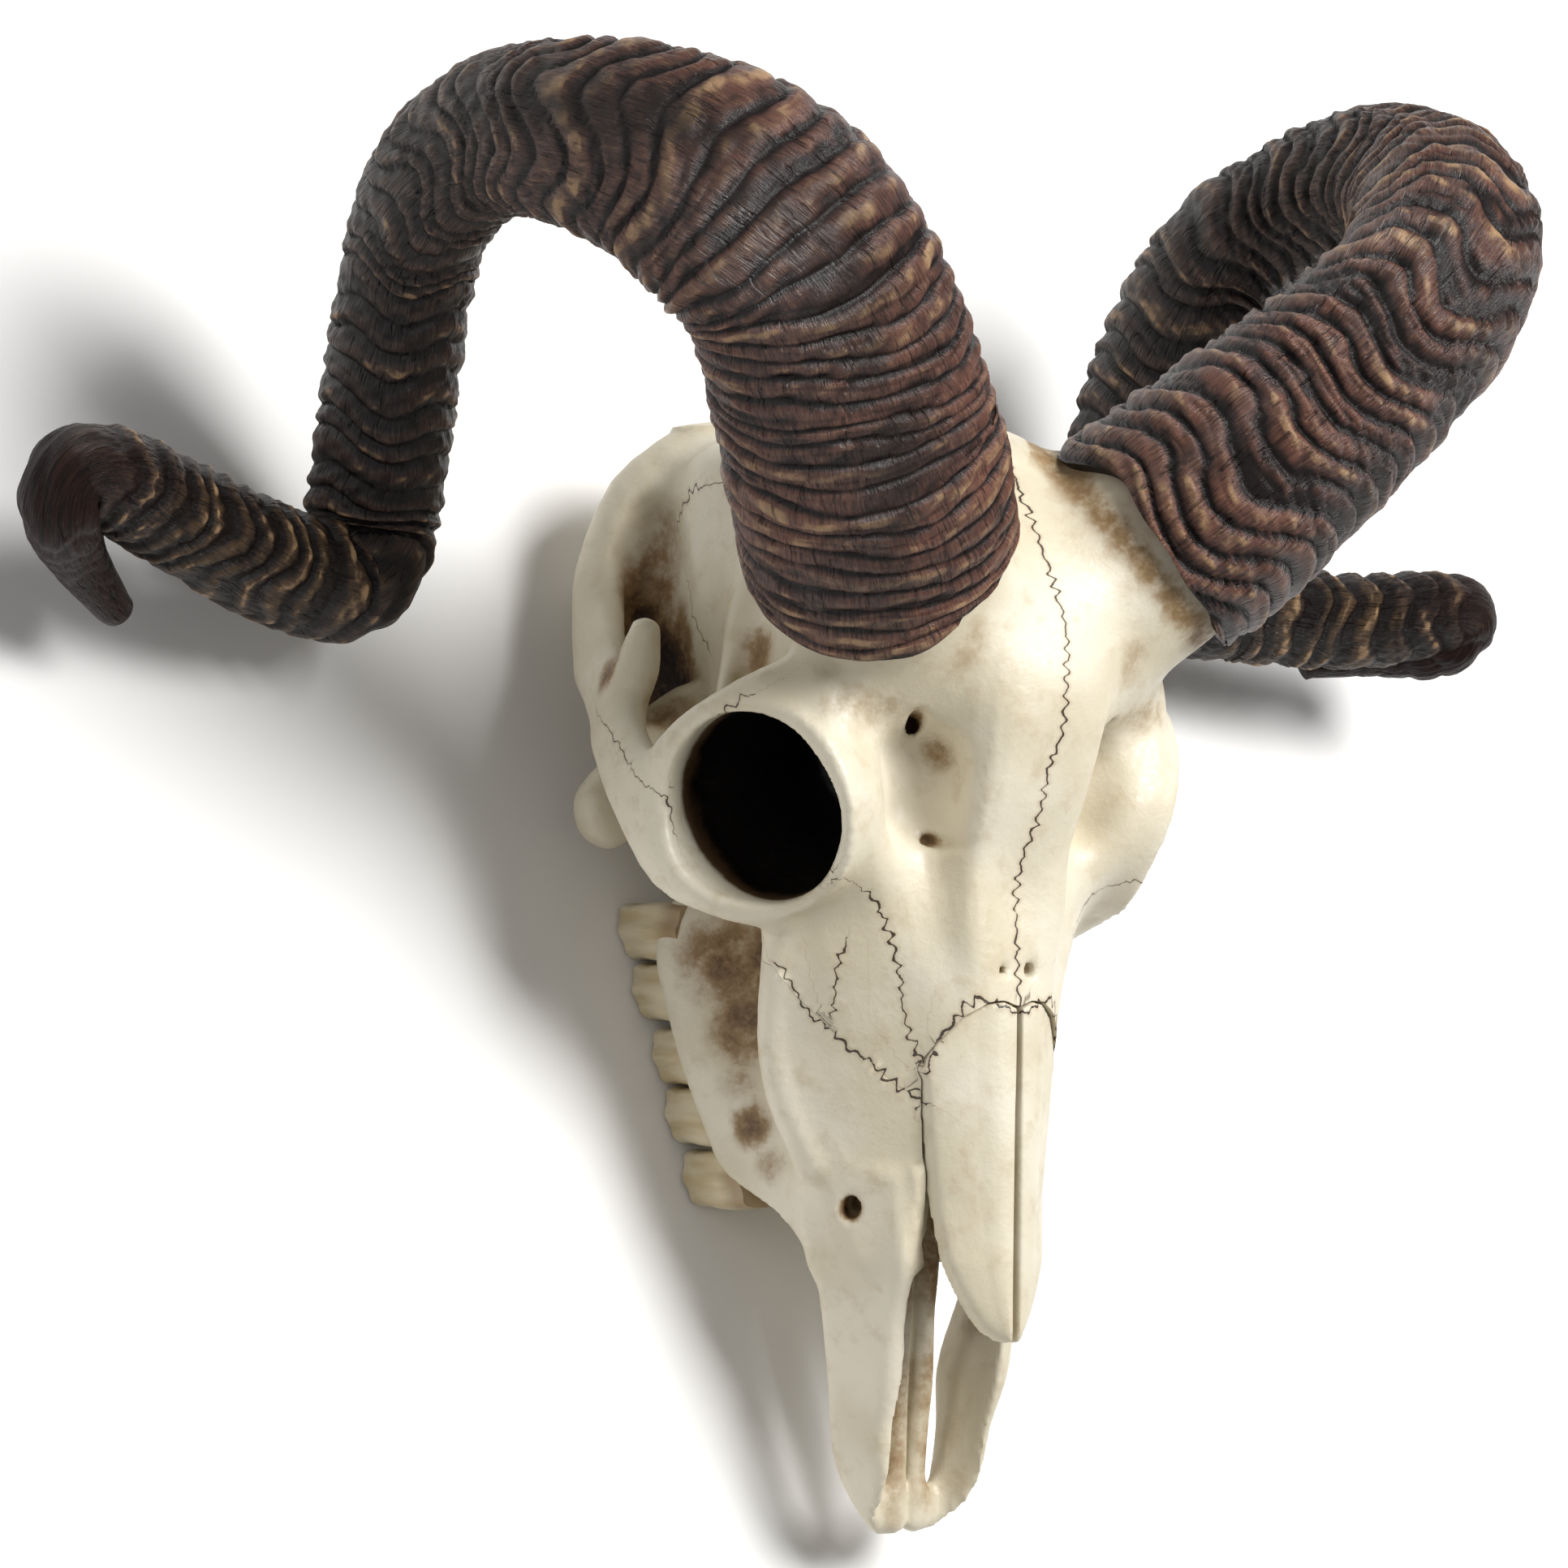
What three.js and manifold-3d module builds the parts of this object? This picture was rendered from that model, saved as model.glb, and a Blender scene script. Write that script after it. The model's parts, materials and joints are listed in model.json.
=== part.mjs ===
// Skull of a horned ram without its lower jaw, resting on its cheek teeth.
// Millimetres. The bones are laid out in a face frame: x to the animal's left, y from the nose
// up the face to the poll, z out of the face. The whole head is then tilted onto its teeth.

import * as THREE from 'three';
import { mergeVertices } from 'three/addons/utils/BufferGeometryUtils.js';
import Module from 'manifold-3d';

const wasm = await Module();
wasm.setup();

// ---- driving dimensions -------------------------------------------------------------------

const REST_TILT = THREE.MathUtils.degToRad(16.5);   // face line above the tooth plane
const TOOTH_PLANE = -69.9;                          // level of the chewing faces once tilted
const SEAM = 0.3;                                   // open width of a suture between two bones
const FACET_SLACK = 0.9;                            // how far a facet may lie off the blended bone

const NOSE_TIP = -37;                               // front end of the premaxillae
const JAW_FRONT = 28;                               // front end of the maxillae
const NASAL_TIP = 8;
const NASAL_ROOT = 84;
const NASAL_THICK = 4.5;
const CRANIUM_BACK = 216;

const ORBIT_CENTRE = new THREE.Vector3(53.2, 126.4, -27.6);
const ORBIT_FACING = new THREE.Vector3(0.919, -0.266, 0.291);
const ORBIT = { high: 21.6, wide: 21.2, deep: 42, straight: 9, lip: 2.4 };

const TOOTH = { count: 5, first: 42, pitch: 14.1, long: 12.6, wide: 12.5 };

const HORN_SIDES = 12;
const HORN_STEPS = 49;
const HORN_BROAD_SIDE = new THREE.Vector3(0.8, -0.2, -0.5);

const BONE = { color: 0xe4dac2, roughness: 0.5, metalness: 0 };
const HORN = { color: 0x5c4034, roughness: 0.45, metalness: 0 };

// ---- solids from three.js geometry --------------------------------------------------------

function solid(geometry) {
  const bare = geometry.clone();
  bare.deleteAttribute('normal');
  bare.deleteAttribute('uv');
  const merged = mergeVertices(bare, 1e-4);
  const mesh = new wasm.Mesh({
    numProp: 3,
    vertProperties: new Float32Array(merged.attributes.position.array),
    triVerts: new Uint32Array(merged.index.array),
  });
  return new wasm.Manifold(mesh);
}

function geometryOf(manifold) {
  const mesh = manifold.getMesh();
  const geometry = new THREE.BufferGeometry();
  const positions = new THREE.Float32BufferAttribute(mesh.vertProperties, mesh.numProp);
  geometry.setAttribute('position', positions);
  geometry.setIndex(new THREE.Uint32BufferAttribute(mesh.triVerts, 1));
  geometry.computeVertexNormals();
  return geometry;
}

// A closed skin over a row of rings that all have the same number of points.
function loft(rings) {
  const sides = rings[0].length;
  const points = rings.flat();
  const triangles = [];
  for (let r = 0; r + 1 < rings.length; r += 1) {
    for (let s = 0; s < sides; s += 1) {
      const a = r * sides + s;
      const b = r * sides + (s + 1) % sides;
      triangles.push(a, b, a + sides, b, b + sides, a + sides);
    }
  }
  for (const [start, ring, turned] of [[0, rings[0], true],
    [points.length - sides, rings.at(-1), false]]) {
    const centre = ring.reduce((sum, p) => sum.add(p), new THREE.Vector3()).divideScalar(sides);
    points.push(centre);
    for (let s = 0; s < sides; s += 1) {
      const here = start + s;
      const next = start + (s + 1) % sides;
      triangles.push(points.length - 1, turned ? next : here, turned ? here : next);
    }
  }
  const volume = triangles.reduce((sum, _, i) => {
    if (i % 3) return sum;
    const [a, b, c] = [0, 1, 2].map((k) => points[triangles[i + k]]);
    return sum + a.clone().cross(b).dot(c);
  }, 0);
  const geometry = new THREE.BufferGeometry().setFromPoints(points);
  geometry.setIndex(volume > 0 ? triangles : triangles.reverse());
  return solid(geometry);
}

function ball(x, y, z, rx, ry, rz) {
  const sphere = new THREE.SphereGeometry(1, 8, 6);
  sphere.scale(rx, ry, rz);
  sphere.translate(x, y, z);
  return solid(sphere);
}

// A limb along a curve: rows are x, y, z, half thickness across the side, half height.
function limb(rows, steps, sides = 7) {
  const curve = new THREE.CatmullRomCurve3(rows.map(([x, y, z]) => new THREE.Vector3(x, y, z)),
    false, 'catmullrom', 0.5);
  const rings = [];
  for (let i = 0; i <= steps; i += 1) {
    const t = i / steps;
    const centre = curve.getPoint(t);
    const along = curve.getTangent(t);
    const across = new THREE.Vector3(1, 0, 0).addScaledVector(along, -along.x).normalize();
    const up = along.clone().cross(across);
    const thick = between(rows, 3, t);
    const high = between(rows, 4, t);
    rings.push(Array.from({ length: sides }, (_, s) => {
      const angle = 2 * Math.PI * s / sides;
      return centre.clone()
        .addScaledVector(across, thick * Math.cos(angle))
        .addScaledVector(up, high * Math.sin(angle));
    }));
  }
  return loft(rings);
}

function between(rows, column, t) {
  const place = t * (rows.length - 1);
  const low = Math.min(Math.floor(place), rows.length - 2);
  return THREE.MathUtils.lerp(rows[low][column], rows[low + 1][column], place - low);
}

// A straight prism over an outline: 'down' sees it from above (x, y), 'side' sees it as (y, z).
function prism(outline, low, high, view) {
  const shape = new THREE.Shape(outline.map(([a, b]) => new THREE.Vector2(a, b)));
  const geometry = new THREE.ExtrudeGeometry(shape, { depth: high - low, bevelEnabled: false });
  geometry.translate(0, 0, low);
  if (view === 'side') {
    const sideways = new THREE.Matrix4().makeBasis(new THREE.Vector3(0, 1, 0),
      new THREE.Vector3(0, 0, 1), new THREE.Vector3(1, 0, 0));
    geometry.applyMatrix4(sideways);
  }
  return solid(geometry);
}

const mirrored = (shape) => shape.mirror([1, 0, 0]);
const both = (shape) => shape.add(mirrored(shape));
const joined = (shapes) => shapes.reduce((sum, shape) => sum.add(shape));

// ---- body of the skull --------------------------------------------------------------------

// Lines that run the length of the skull, each as stations of y, x, z. A cross-section at any y
// is the closed curve through all of them, mirrored.
const LINES = {
  crown: [[28, 0, -1.5], [84, 0, -1.5], [108, 0, -3.9], [126, 0, 2.7], [144, 0, 10.6],
    [155, 0, 12.3], [170, 0, 10.5], [191, 0, 0], [205, 0, -8]],
  plateau: [[28, 6, -2.2], [60, 7, -2.2], [84, 8.5, -2.4], [97, 11.5, -2.8], [117, 13.5, -1],
    [133, 14.5, 4.8], [147, 16, 8], [160, 15, 9], [175, 10, 7.5], [205, 7, -9]],
  foreheadHollow: [[28, 9, -3.6], [60, 11, -3.6], [84, 14, -6], [100, 18, -9], [122, 21, -12.5],
    [140, 25, -14.5], [150, 27, -7], [160, 24, 0], [175, 19, 2], [205, 14, -13]],
  brow: [[28, 17.2, -25], [34, 16.8, -20.5], [40, 15.8, -15.5], [48, 15.4, -12.5],
    [60, 18, -13.5], [84, 22.5, -15], [104, 31, -17.5],
    [120, 42, -10], [132, 47, -7], [146, 50, -9], [158, 42, -13], [175, 33, -16],
    [205, 25, -25]],
  cheek: [[28, 24, -28], [45, 30, -33], [60, 35, -42], [73, 38, -44], [91, 40, -38],
    [108, 42, -36], [130, 40, -40], [150, 38, -46], [165, 37, -48], [205, 33, -48]],
  underCheek: [[28, 26, -38], [45, 28, -47], [60, 25.5, -52], [91, 22.5, -58], [108, 22, -62],
    [130, 27, -70], [150, 31, -76], [180, 36, -82], [205, 34, -75]],
  toothRoots: [[28, 25, -43], [42, 29, -60], [60, 31.5, -68], [73, 33.5, -72], [91, 35.5, -79],
    [102, 34.5, -82], [112, 23.5, -76], [135, 23, -86], [150, 28, -92], [180, 34, -98],
    [205, 30, -88]],
  gum: [[28, 22, -47], [37, 27, -52], [42, 30, -70], [60, 33, -77], [73, 35, -82],
    [91, 36, -89], [103, 34.5, -90], [112, 23, -84], [135, 19, -98], [150, 24, -108],
    [165, 30, -115], [180, 32, -116], [205, 24, -100]],
  innerGum: [[28, 12, -46], [42, 21, -70], [60, 24, -79], [91, 26, -91], [103, 24, -92],
    [112, 14, -86], [135, 9, -99], [150, 11, -111], [165, 14, -118], [180, 14, -121],
    [205, 12, -105]],
  palate: [[28, 0, -45], [45, 0, -56], [73, 0, -68], [91, 0, -73], [110, 0, -79],
    [135, 0, -98], [150, 0, -111], [165, 0, -118], [180, 0, -121], [205, 0, -106]],
};

const SECTION_SIDES = 24;
const SECTION_STEP = 12;
const DOME = { start: 203, level: -56, rings: 5 };

function lineAt(stations, y) {
  const next = stations.findIndex((station) => station[0] > y);
  if (next < 0) return stations.at(-1).slice(1);
  const [low, high] = [stations[Math.max(next - 1, 0)], stations[next]];
  const share = Math.max((y - low[0]) / (high[0] - low[0]), 0);
  const smooth = share * share * (3 - 2 * share) * 0.5 + share * 0.5;
  return [1, 2].map((k) => THREE.MathUtils.lerp(low[k], high[k], smooth));
}

function crossSection(y) {
  const half = Object.values(LINES).map((stations) => lineAt(stations, y));
  const other = half.slice(1, -1).reverse().map(([x, z]) => [-x, z]);
  const loop = [...half, ...other].map(([x, z]) => new THREE.Vector3(x, y, z));
  const curve = new THREE.CatmullRomCurve3(loop, true, 'centripetal');
  return curve.getPoints(SECTION_SIDES).slice(0, SECTION_SIDES);
}

// Cross-sections up to the start of the back, then the last one shrinking over a dome.
function skullBody() {
  const rings = [];
  for (let y = JAW_FRONT; y < DOME.start; y += SECTION_STEP) rings.push(crossSection(y));
  for (let i = 0; i < DOME.rings; i += 1) {
    const swing = i / (DOME.rings - 0.6) * Math.PI / 2;
    const size = Math.cos(swing) ** 0.8;
    const y = DOME.start + (CRANIUM_BACK - DOME.start) * Math.sin(swing);
    rings.push(crossSection(DOME.start).map((p) => new THREE.Vector3(p.x * size, y,
      DOME.level + (p.z - DOME.level) * size)));
  }
  return loft(rings);
}

// ---- eye sockets, cheek arches, horn cores ------------------------------------------------

// A turned shape on the socket's axis: rows of radius and distance out from its centre.
function socketTurning(rows, sides) {
  const profile = [[0, rows[0][1]], ...rows, [0, rows.at(-1)[1]]];
  const cone = new THREE.LatheGeometry(profile.map(([r, a]) => new THREE.Vector2(r, a)), sides);
  cone.scale(1, 1, ORBIT.high / ORBIT.wide);
  const out = ORBIT_FACING.clone().normalize();
  const rise = new THREE.Vector3(0, 1, 0).addScaledVector(out, -out.y).normalize();
  const basis = new THREE.Matrix4().makeBasis(out.clone().cross(rise), out, rise);
  cone.applyMatrix4(basis.setPosition(ORBIT_CENTRE));
  return solid(cone);
}

const rim = ORBIT.wide + ORBIT.lip;
const orbitWall = socketTurning([[15.5, -34], [rim, -ORBIT.straight], [rim, 0.5]], 14);
const orbitHollow = socketTurning([[12, -ORBIT.deep], [ORBIT.wide, -ORBIT.straight],
  [ORBIT.wide, 16]], 14);

const cheekArch = limb([
  [44, 105, -33, 4, 5], [55, 109, -40, 4, 6], [61, 115, -49, 4, 8], [62, 126, -58, 3.5, 9],
  [61, 137, -67, 3.2, 8], [58, 146, -75, 3.2, 7.5], [52, 157, -87, 3.5, 8],
  [46, 166, -96, 4, 8]], 9);
const postorbitalBar = limb([
  [48, 152, -16, 4, 7], [58, 148, -27, 3.4, 6], [63, 139, -41, 3.2, 6], [62, 130, -54, 3, 7]], 5);
const nuchalCrest = limb([
  [48, 160, -92, 4, 8], [43, 168, -99, 6, 8], [40, 182, -103, 7, 8], [34, 197, -99, 8, 9],
  [22, 206, -92, 9, 9], [0, 209, -90, 9, 9]], 6);
const jointKnob = limb([
  [59, 142, -71, 3, 5], [58, 150, -71, 4, 5], [56, 158, -70, 4.5, 5.5], [54.5, 166, -69, 3, 4]], 4);
const jointShelf = limb([
  [34, 148, -82, 6, 8], [48, 146, -79, 5, 7], [58, 144, -75, 4, 6]], 3);
const earBulb = limb([
  [28, 140, -86, 8, 9], [38, 133, -90, 9, 10], [45, 127, -93, 9, 9], [46, 122, -93, 5, 5]], 5);
const nuchalHook = limb([
  [27, 158, -102, 8, 10], [29, 166, -112, 6, 8], [30, 172, -120, 4.5, 6],
  [30.5, 175, -128, 4, 5]], 4);
const condyle = ball(11, 170, -119, 8, 10, 9);

const templeHollow = limb([
  [50, 147, -61, 9, 8], [46, 159, -76, 10, 12], [41.5, 172, -85, 8.5, 12],
  [39, 184, -88, 7.5, 10], [37, 193, -90, 5, 6]], 5);
const cheekHollow = limb([
  [47, 84, -56, 9, 8], [50, 98, -60, 14, 12], [50, 120, -71, 17, 15], [46, 136, -80, 12, 8]], 6);
const nerveHole = ball(0, 172, -126, 8.5, 9, 12);

// ---- nasal bones and the nasal passage ----------------------------------------------------

// Half width of a nasal bone at y: an ogive at its tip, then a slow widening to its root.
function nasalHalf(y) {
  const pointed = 13.5 * Math.sqrt(Math.min(Math.max((y - NASAL_TIP) / 18, 0), 1));
  return pointed + 5 * Math.max((y - 26) / 44, 0) ** 0.9;
}

// Front edge, side edge and rounded root of one nasal bone, seen from above.
function nasalOutline(grow) {
  const side = [];
  for (let y = NASAL_TIP + 0.5; y <= 68; y += 6) side.push([nasalHalf(y) + grow, y]);
  const root = [[19.2, 69], [17, 74.5], [13, 80.5], [8, NASAL_ROOT - 0.5], [4, NASAL_ROOT]];
  const upper = root.map(([x, y]) => [x + grow * 0.6, y + grow]);
  return [[-grow, NASAL_TIP], ...side, ...upper, [-grow, NASAL_ROOT - 1.5 + grow]];
}

function nasalShell() {
  const rings = [];
  const stations = 8;
  for (let i = 0; i <= stations; i += 1) {
    const y = THREE.MathUtils.lerp(NASAL_TIP + 0.2, NASAL_ROOT + 1, i / stations);
    const half = Math.max(nasalHalf(Math.min(y, 70)), 1) + 1;
    const drop = 4.5 + 6.3 * Math.min((y - NASAL_TIP) / 32, 1);
    const top = [];
    const under = [];
    for (let k = 0; k <= 5; k += 1) {
      const share = k / 5;
      const x = SEAM / 2 + share * half;
      const z = -1.6 + 0.5 * Math.sin(Math.PI * Math.min(share * 2, 1)) - drop * share ** 1.95;
      top.push(new THREE.Vector3(x, y, z));
      under.unshift(new THREE.Vector3(x, y, z - NASAL_THICK));
    }
    rings.push([...top, ...under]);
  }
  return loft(rings);
}

const nasalSlot = prism(nasalOutline(SEAM), -18, 20, 'down');
const nasalLeft = nasalShell().intersect(prism(nasalOutline(0), -30, 20, 'down'));

// The passage behind the nose opening, an oval that closes at the nasal roots.
const nosePassage = loft([[-40, 15, 20], [20, 14.5, 19], [45, 12.5, 17], [60, 9, 13], [67, 4, 7]]
  .map(([y, wide, high]) => Array.from({ length: 18 }, (_, s) => {
    const angle = 2 * Math.PI * s / 18;
    return new THREE.Vector3(wide * Math.cos(angle), y, -25 + high * Math.sin(angle));
  })));

// ---- upper jaw and its cheek teeth --------------------------------------------------------

// Side outline of everything that belongs to the maxillae, bounded by the cheek suture.
function jawRegion(grow) {
  const suture = [[40, 14], [61.5, -12.9], [69.9, -21.8], [77.9, -29.8], [84.1, -34.2],
    [91.2, -37], [97, -58], [112, -63]].map(([y, z]) => [y + grow, z + grow]);
  return prism([[JAW_FRONT - 8, 14], ...suture, [112 + grow, -116],
    [JAW_FRONT - 8, -116]], -70, 70, 'side');
}

function cheekTooth(number) {
  const y = TOOTH.first + number * TOOTH.pitch;
  const share = number / (TOOTH.count - 1);
  const x = THREE.MathUtils.lerp(23.5, 30.5, share);
  const root = THREE.MathUtils.lerp(-68, -84, share);
  const block = new THREE.BoxGeometry(TOOTH.wide, TOOTH.long, 44);
  block.translate(0, 0, -22);
  const place = new THREE.Matrix4().makeTranslation(x, y, root);
  block.applyMatrix4(place);
  const gumBand = new THREE.BoxGeometry(TOOTH.wide - 3, TOOTH.pitch + 1, 16);
  gumBand.applyMatrix4(new THREE.Matrix4().makeTranslation(x, y, root - 2));
  return solid(block).add(solid(gumBand));
}

const toothRow = joined(Array.from({ length: TOOTH.count }, (_, number) => cheekTooth(number)));

// Everything below the chewing faces, in the face frame.
function floorBlock() {
  const block = new THREE.BoxGeometry(500, 600, 100);
  block.translate(0, 100, TOOTH_PLANE - 50);
  block.applyMatrix4(new THREE.Matrix4().makeRotationX(-REST_TILT));
  return solid(block);
}

// ---- premaxillae --------------------------------------------------------------------------

// A leaning blade: rows are y, lower edge x and z, upper edge x and z, half thickness.
const BLADE = [
  [JAW_FRONT - SEAM, 25, -43, 17.2, -17, 3], [16, 20.5, -44.5, 14.8, -22, 3.2],
  [0, 16.4, -46, 13.2, -26.2, 3.4], [-12, 15.6, -45.6, 11.5, -29.7, 3.6],
  [-22, 14.2, -45, 9.4, -31.2, 3.8], [-30, 11.2, -43.2, 7, -35, 3.8],
  [-35, 8.2, -41.5, 5.6, -37.6, 3], [NOSE_TIP, 6, -41, 4.6, -39.6, 1.8]];

const BLADE_SIDES = 10;

function bladeRing([y, lowX, lowZ, highX, highZ, half]) {
  const low = new THREE.Vector3(lowX, y, lowZ);
  const high = new THREE.Vector3(highX, y, highZ);
  const rise = high.clone().sub(low);
  const span = rise.length() / 2;
  const up = rise.normalize();
  const out = new THREE.Vector3(up.z, 0, -up.x);
  const centre = low.add(high).multiplyScalar(0.5);
  return Array.from({ length: BLADE_SIDES }, (_, s) => {
    const angle = 2 * Math.PI * s / BLADE_SIDES;
    const flat = Math.sign(Math.cos(angle)) * Math.abs(Math.cos(angle)) ** 0.7;
    return centre.clone().addScaledVector(up, span * flat)
      .addScaledVector(out, half * Math.sin(angle));
  });
}

const palateBar = limb([
  [3.6, 27.7, -37.5, 3.4, 3.2], [3.5, 20, -38, 3.3, 3], [3.3, 0, -39, 3.1, 2.8],
  [2.9, -20, -40, 2.7, 2.6], [2.6, -34, -40.4, 2.4, 2.2]], 6);
const noseTip = ball(4.3, -33.5, -40.2, 4, 3.4, 2.6);
const premaxillaLeft = joined([loft(BLADE.map(bladeRing)), palateBar, noseTip]);

// ---- horns --------------------------------------------------------------------------------

// Growth line of the left horn from the rim of its sheath to its tip, with the half width
// across its broad side and across its narrow side: x, y, z, broad, narrow.
const HORN_LINE = [
  [36.5, 185.5, -6.3, 29.8, 29.5], [54.5, 203.8, 8.5, 30.8, 28.3], [84.1, 235.1, 24.6, 28.4, 24],
  [100.6, 249.9, 23.7, 28.2, 23], [114, 262.5, 12.1, 24.3, 21.8], [123.1, 270.5, -5.4, 20.4, 18.6],
  [125.8, 273.7, -27.7, 18, 15], [125, 266.7, -51.2, 17.2, 14.6], [118.2, 251, -71.5, 16.6, 14.6],
  [110.5, 202.6, -94.3, 16.8, 15], [113.3, 183.4, -96.5, 15.2, 14.6],
  [126.7, 178.5, -95.8, 14.2, 13.8], [170.4, 182.6, -84.5, 13.2, 12.2],
  [191.3, 186.3, -76.9, 12.4, 11.4], [203.8, 186.8, -73.5, 10.3, 9.8],
  [202.8, 179.3, -78.6, 9.2, 8.8], [190.6, 174.4, -91.5, 6.8, 6.6], [175, 167, -99.8, 4, 4]];

// The two horns aren't quite twins: lobes of start and end along the growth line, and the
// swing in y and z that one horn takes and the other takes the opposite way.
const UNEVEN_LOBES = [[35, 115, 2.4, 1.5], [115, 325, -8.4, -1.1], [325, 432, 7.2, 0.5]];

function unevenness(length) {
  const lobe = UNEVEN_LOBES.find(([start, end]) => length > start && length < end);
  if (!lobe) return new THREE.Vector3();
  const [start, end, y, z] = lobe;
  return new THREE.Vector3(0, y, z).multiplyScalar(Math.sin(Math.PI * (length - start)
    / (end - start)));
}

function growthCurve() {
  const line = HORN_LINE.map(([x, y, z]) => new THREE.Vector3(x, y, z));
  const curve = new THREE.CatmullRomCurve3(line, false, 'catmullrom', 0.5);
  curve.arcLengthDivisions = 900;
  return curve;
}

// A stub of bone along the first tangent of the growth line, between two distances from the rim.
function rimStub(from, to, radius, sides) {
  const curve = growthCurve();
  const along = curve.getTangent(0);
  const steps = [from, (from + to) / 2, to].map((distance) => [
    ...curve.getPoint(0).addScaledVector(along, distance).toArray(), radius, radius]);
  return limb(steps, 2, sides);
}

// The left (side 1) or right (side -1) horn as far as a share of its length, grown all round.
function horn(side, share = 1, grow = 0) {
  const curve = growthCurve();
  const total = curve.getLength();
  const broad = HORN_BROAD_SIDE.clone();
  const facetRoom = 1 / Math.cos(Math.PI / HORN_SIDES);   // flats touch the round section
  const rings = [];
  for (let i = 0; i <= HORN_STEPS * share; i += 1) {
    const u = i / HORN_STEPS;
    const t = curve.getUtoTmapping(u);
    const centre = curve.getPoint(t);
    const along = curve.getTangent(t);
    centre.addScaledVector(unevenness(u * total), -side);
    broad.addScaledVector(along, -broad.dot(along)).normalize();
    const narrow = along.clone().cross(broad);
    const wide = (between(HORN_LINE, 3, t) + grow) * facetRoom;
    const thin = (between(HORN_LINE, 4, t) + grow) * facetRoom;
    rings.push(Array.from({ length: HORN_SIDES }, (_, s) => {
      const angle = 2 * Math.PI * s / HORN_SIDES;
      const point = centre.clone()
        .addScaledVector(broad, wide * Math.cos(angle))
        .addScaledVector(narrow, thin * Math.sin(angle));
      point.x *= side;
      return point;
    }));
  }
  return loft(rings);
}

// ---- assembly -----------------------------------------------------------------------------

const hornCore = rimStub(-36, 0, 26, 12);
const rimSeat = rimStub(-0.4, 0.4, 31, 14);           // thin cut that frees the sheath's rim

function assemble() {
  const hornRoom = joined([horn(1, 0.12, SEAM), horn(-1, 0.12, SEAM), both(rimSeat)]);
  const ground = floorBlock();
  const body = joined([
    skullBody(), both(orbitWall), both(cheekArch), both(postorbitalBar), both(nuchalCrest),
    both(jointShelf), both(earBulb), both(nuchalHook), both(condyle), both(hornCore)])
    .subtract(both(orbitHollow)).subtract(both(templeHollow)).subtract(both(cheekHollow))
    .add(both(jointKnob)).add(both(postorbitalBar)).add(both(cheekArch))
    .subtract(nerveHole).subtract(nosePassage).subtract(both(nasalSlot))
    .simplify(FACET_SLACK);
  const jawSide = body.add(both(toothRow)).subtract(nosePassage);
  return {
    cranium: body.subtract(jawRegion(SEAM)).subtract(hornRoom).subtract(ground),
    upper_jaw: jawSide.intersect(jawRegion(0)).subtract(ground),
    nasal_left: nasalLeft,
    nasal_right: mirrored(nasalLeft),
    premaxilla_left: premaxillaLeft,
    premaxilla_right: mirrored(premaxillaLeft),
    horn_left: horn(1),
    horn_right: horn(-1),
  };
}

const head = new THREE.Group();
for (const [name, manifold] of Object.entries(assemble())) {
  const finish = name.startsWith('horn') ? HORN : BONE;
  const mesh = new THREE.Mesh(geometryOf(manifold), new THREE.MeshStandardMaterial(finish));
  mesh.name = name;
  head.add(mesh);
}
head.rotation.x = REST_TILT;

const skull = new THREE.Group();
skull.add(head);
skull.updateMatrixWorld(true);
const extent = new THREE.Box3().setFromObject(skull, true);
const centre = extent.getCenter(new THREE.Vector3());
skull.position.set(-centre.x, -centre.y, -extent.min.z);

export default skull;
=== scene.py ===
import json
import math
from itertools import product

import bpy
import numpy as np
from mathutils import Matrix, Vector

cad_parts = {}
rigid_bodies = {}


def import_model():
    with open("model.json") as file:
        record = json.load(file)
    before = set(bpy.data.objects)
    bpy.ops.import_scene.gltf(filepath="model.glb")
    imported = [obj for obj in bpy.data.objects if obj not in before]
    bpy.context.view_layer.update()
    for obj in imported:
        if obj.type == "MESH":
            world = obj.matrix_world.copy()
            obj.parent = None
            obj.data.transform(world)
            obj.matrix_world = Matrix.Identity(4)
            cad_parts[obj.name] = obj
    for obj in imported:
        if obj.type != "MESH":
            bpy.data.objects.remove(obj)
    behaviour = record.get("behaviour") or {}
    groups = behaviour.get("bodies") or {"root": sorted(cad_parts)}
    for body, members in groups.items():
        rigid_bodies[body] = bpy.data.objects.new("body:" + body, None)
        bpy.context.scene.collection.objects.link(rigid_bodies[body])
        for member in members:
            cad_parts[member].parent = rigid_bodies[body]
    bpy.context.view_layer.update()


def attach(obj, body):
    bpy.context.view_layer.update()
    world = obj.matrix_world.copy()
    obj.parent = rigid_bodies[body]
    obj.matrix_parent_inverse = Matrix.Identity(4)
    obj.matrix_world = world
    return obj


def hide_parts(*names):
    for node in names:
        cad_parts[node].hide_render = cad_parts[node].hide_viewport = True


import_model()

# ---- bones of the skull --------------------------------------------------------------------
# Braincase, forehead, eye sockets and cheek arches of an old ram: dry, waxed, ivory bone.
# A solid field is blended from cross-sections, limbs and hollows, then skinned at its surface.
# Lengths are millimetres in the face frame: x to the animal's left, y up the face, z out of it.
REST_TILT = math.radians(16.5)
FACE_ORIGIN = np.array([0.0, -0.13566053, 0.0699])
VOXEL = 1.17
TEETH_FLOOR = -69.9
ORBIT_CENTRE = np.array([53.2, 126.4, -27.6])
ORBIT_FACING = np.array([0.919, -0.266, 0.291]) / np.linalg.norm([0.919, -0.266, 0.291])
ORBIT_WIDE, ORBIT_TALL, ORBIT_DEEP, ORBIT_STRAIGHT = 21.2, 21.6, 42.0, 9.0

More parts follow.
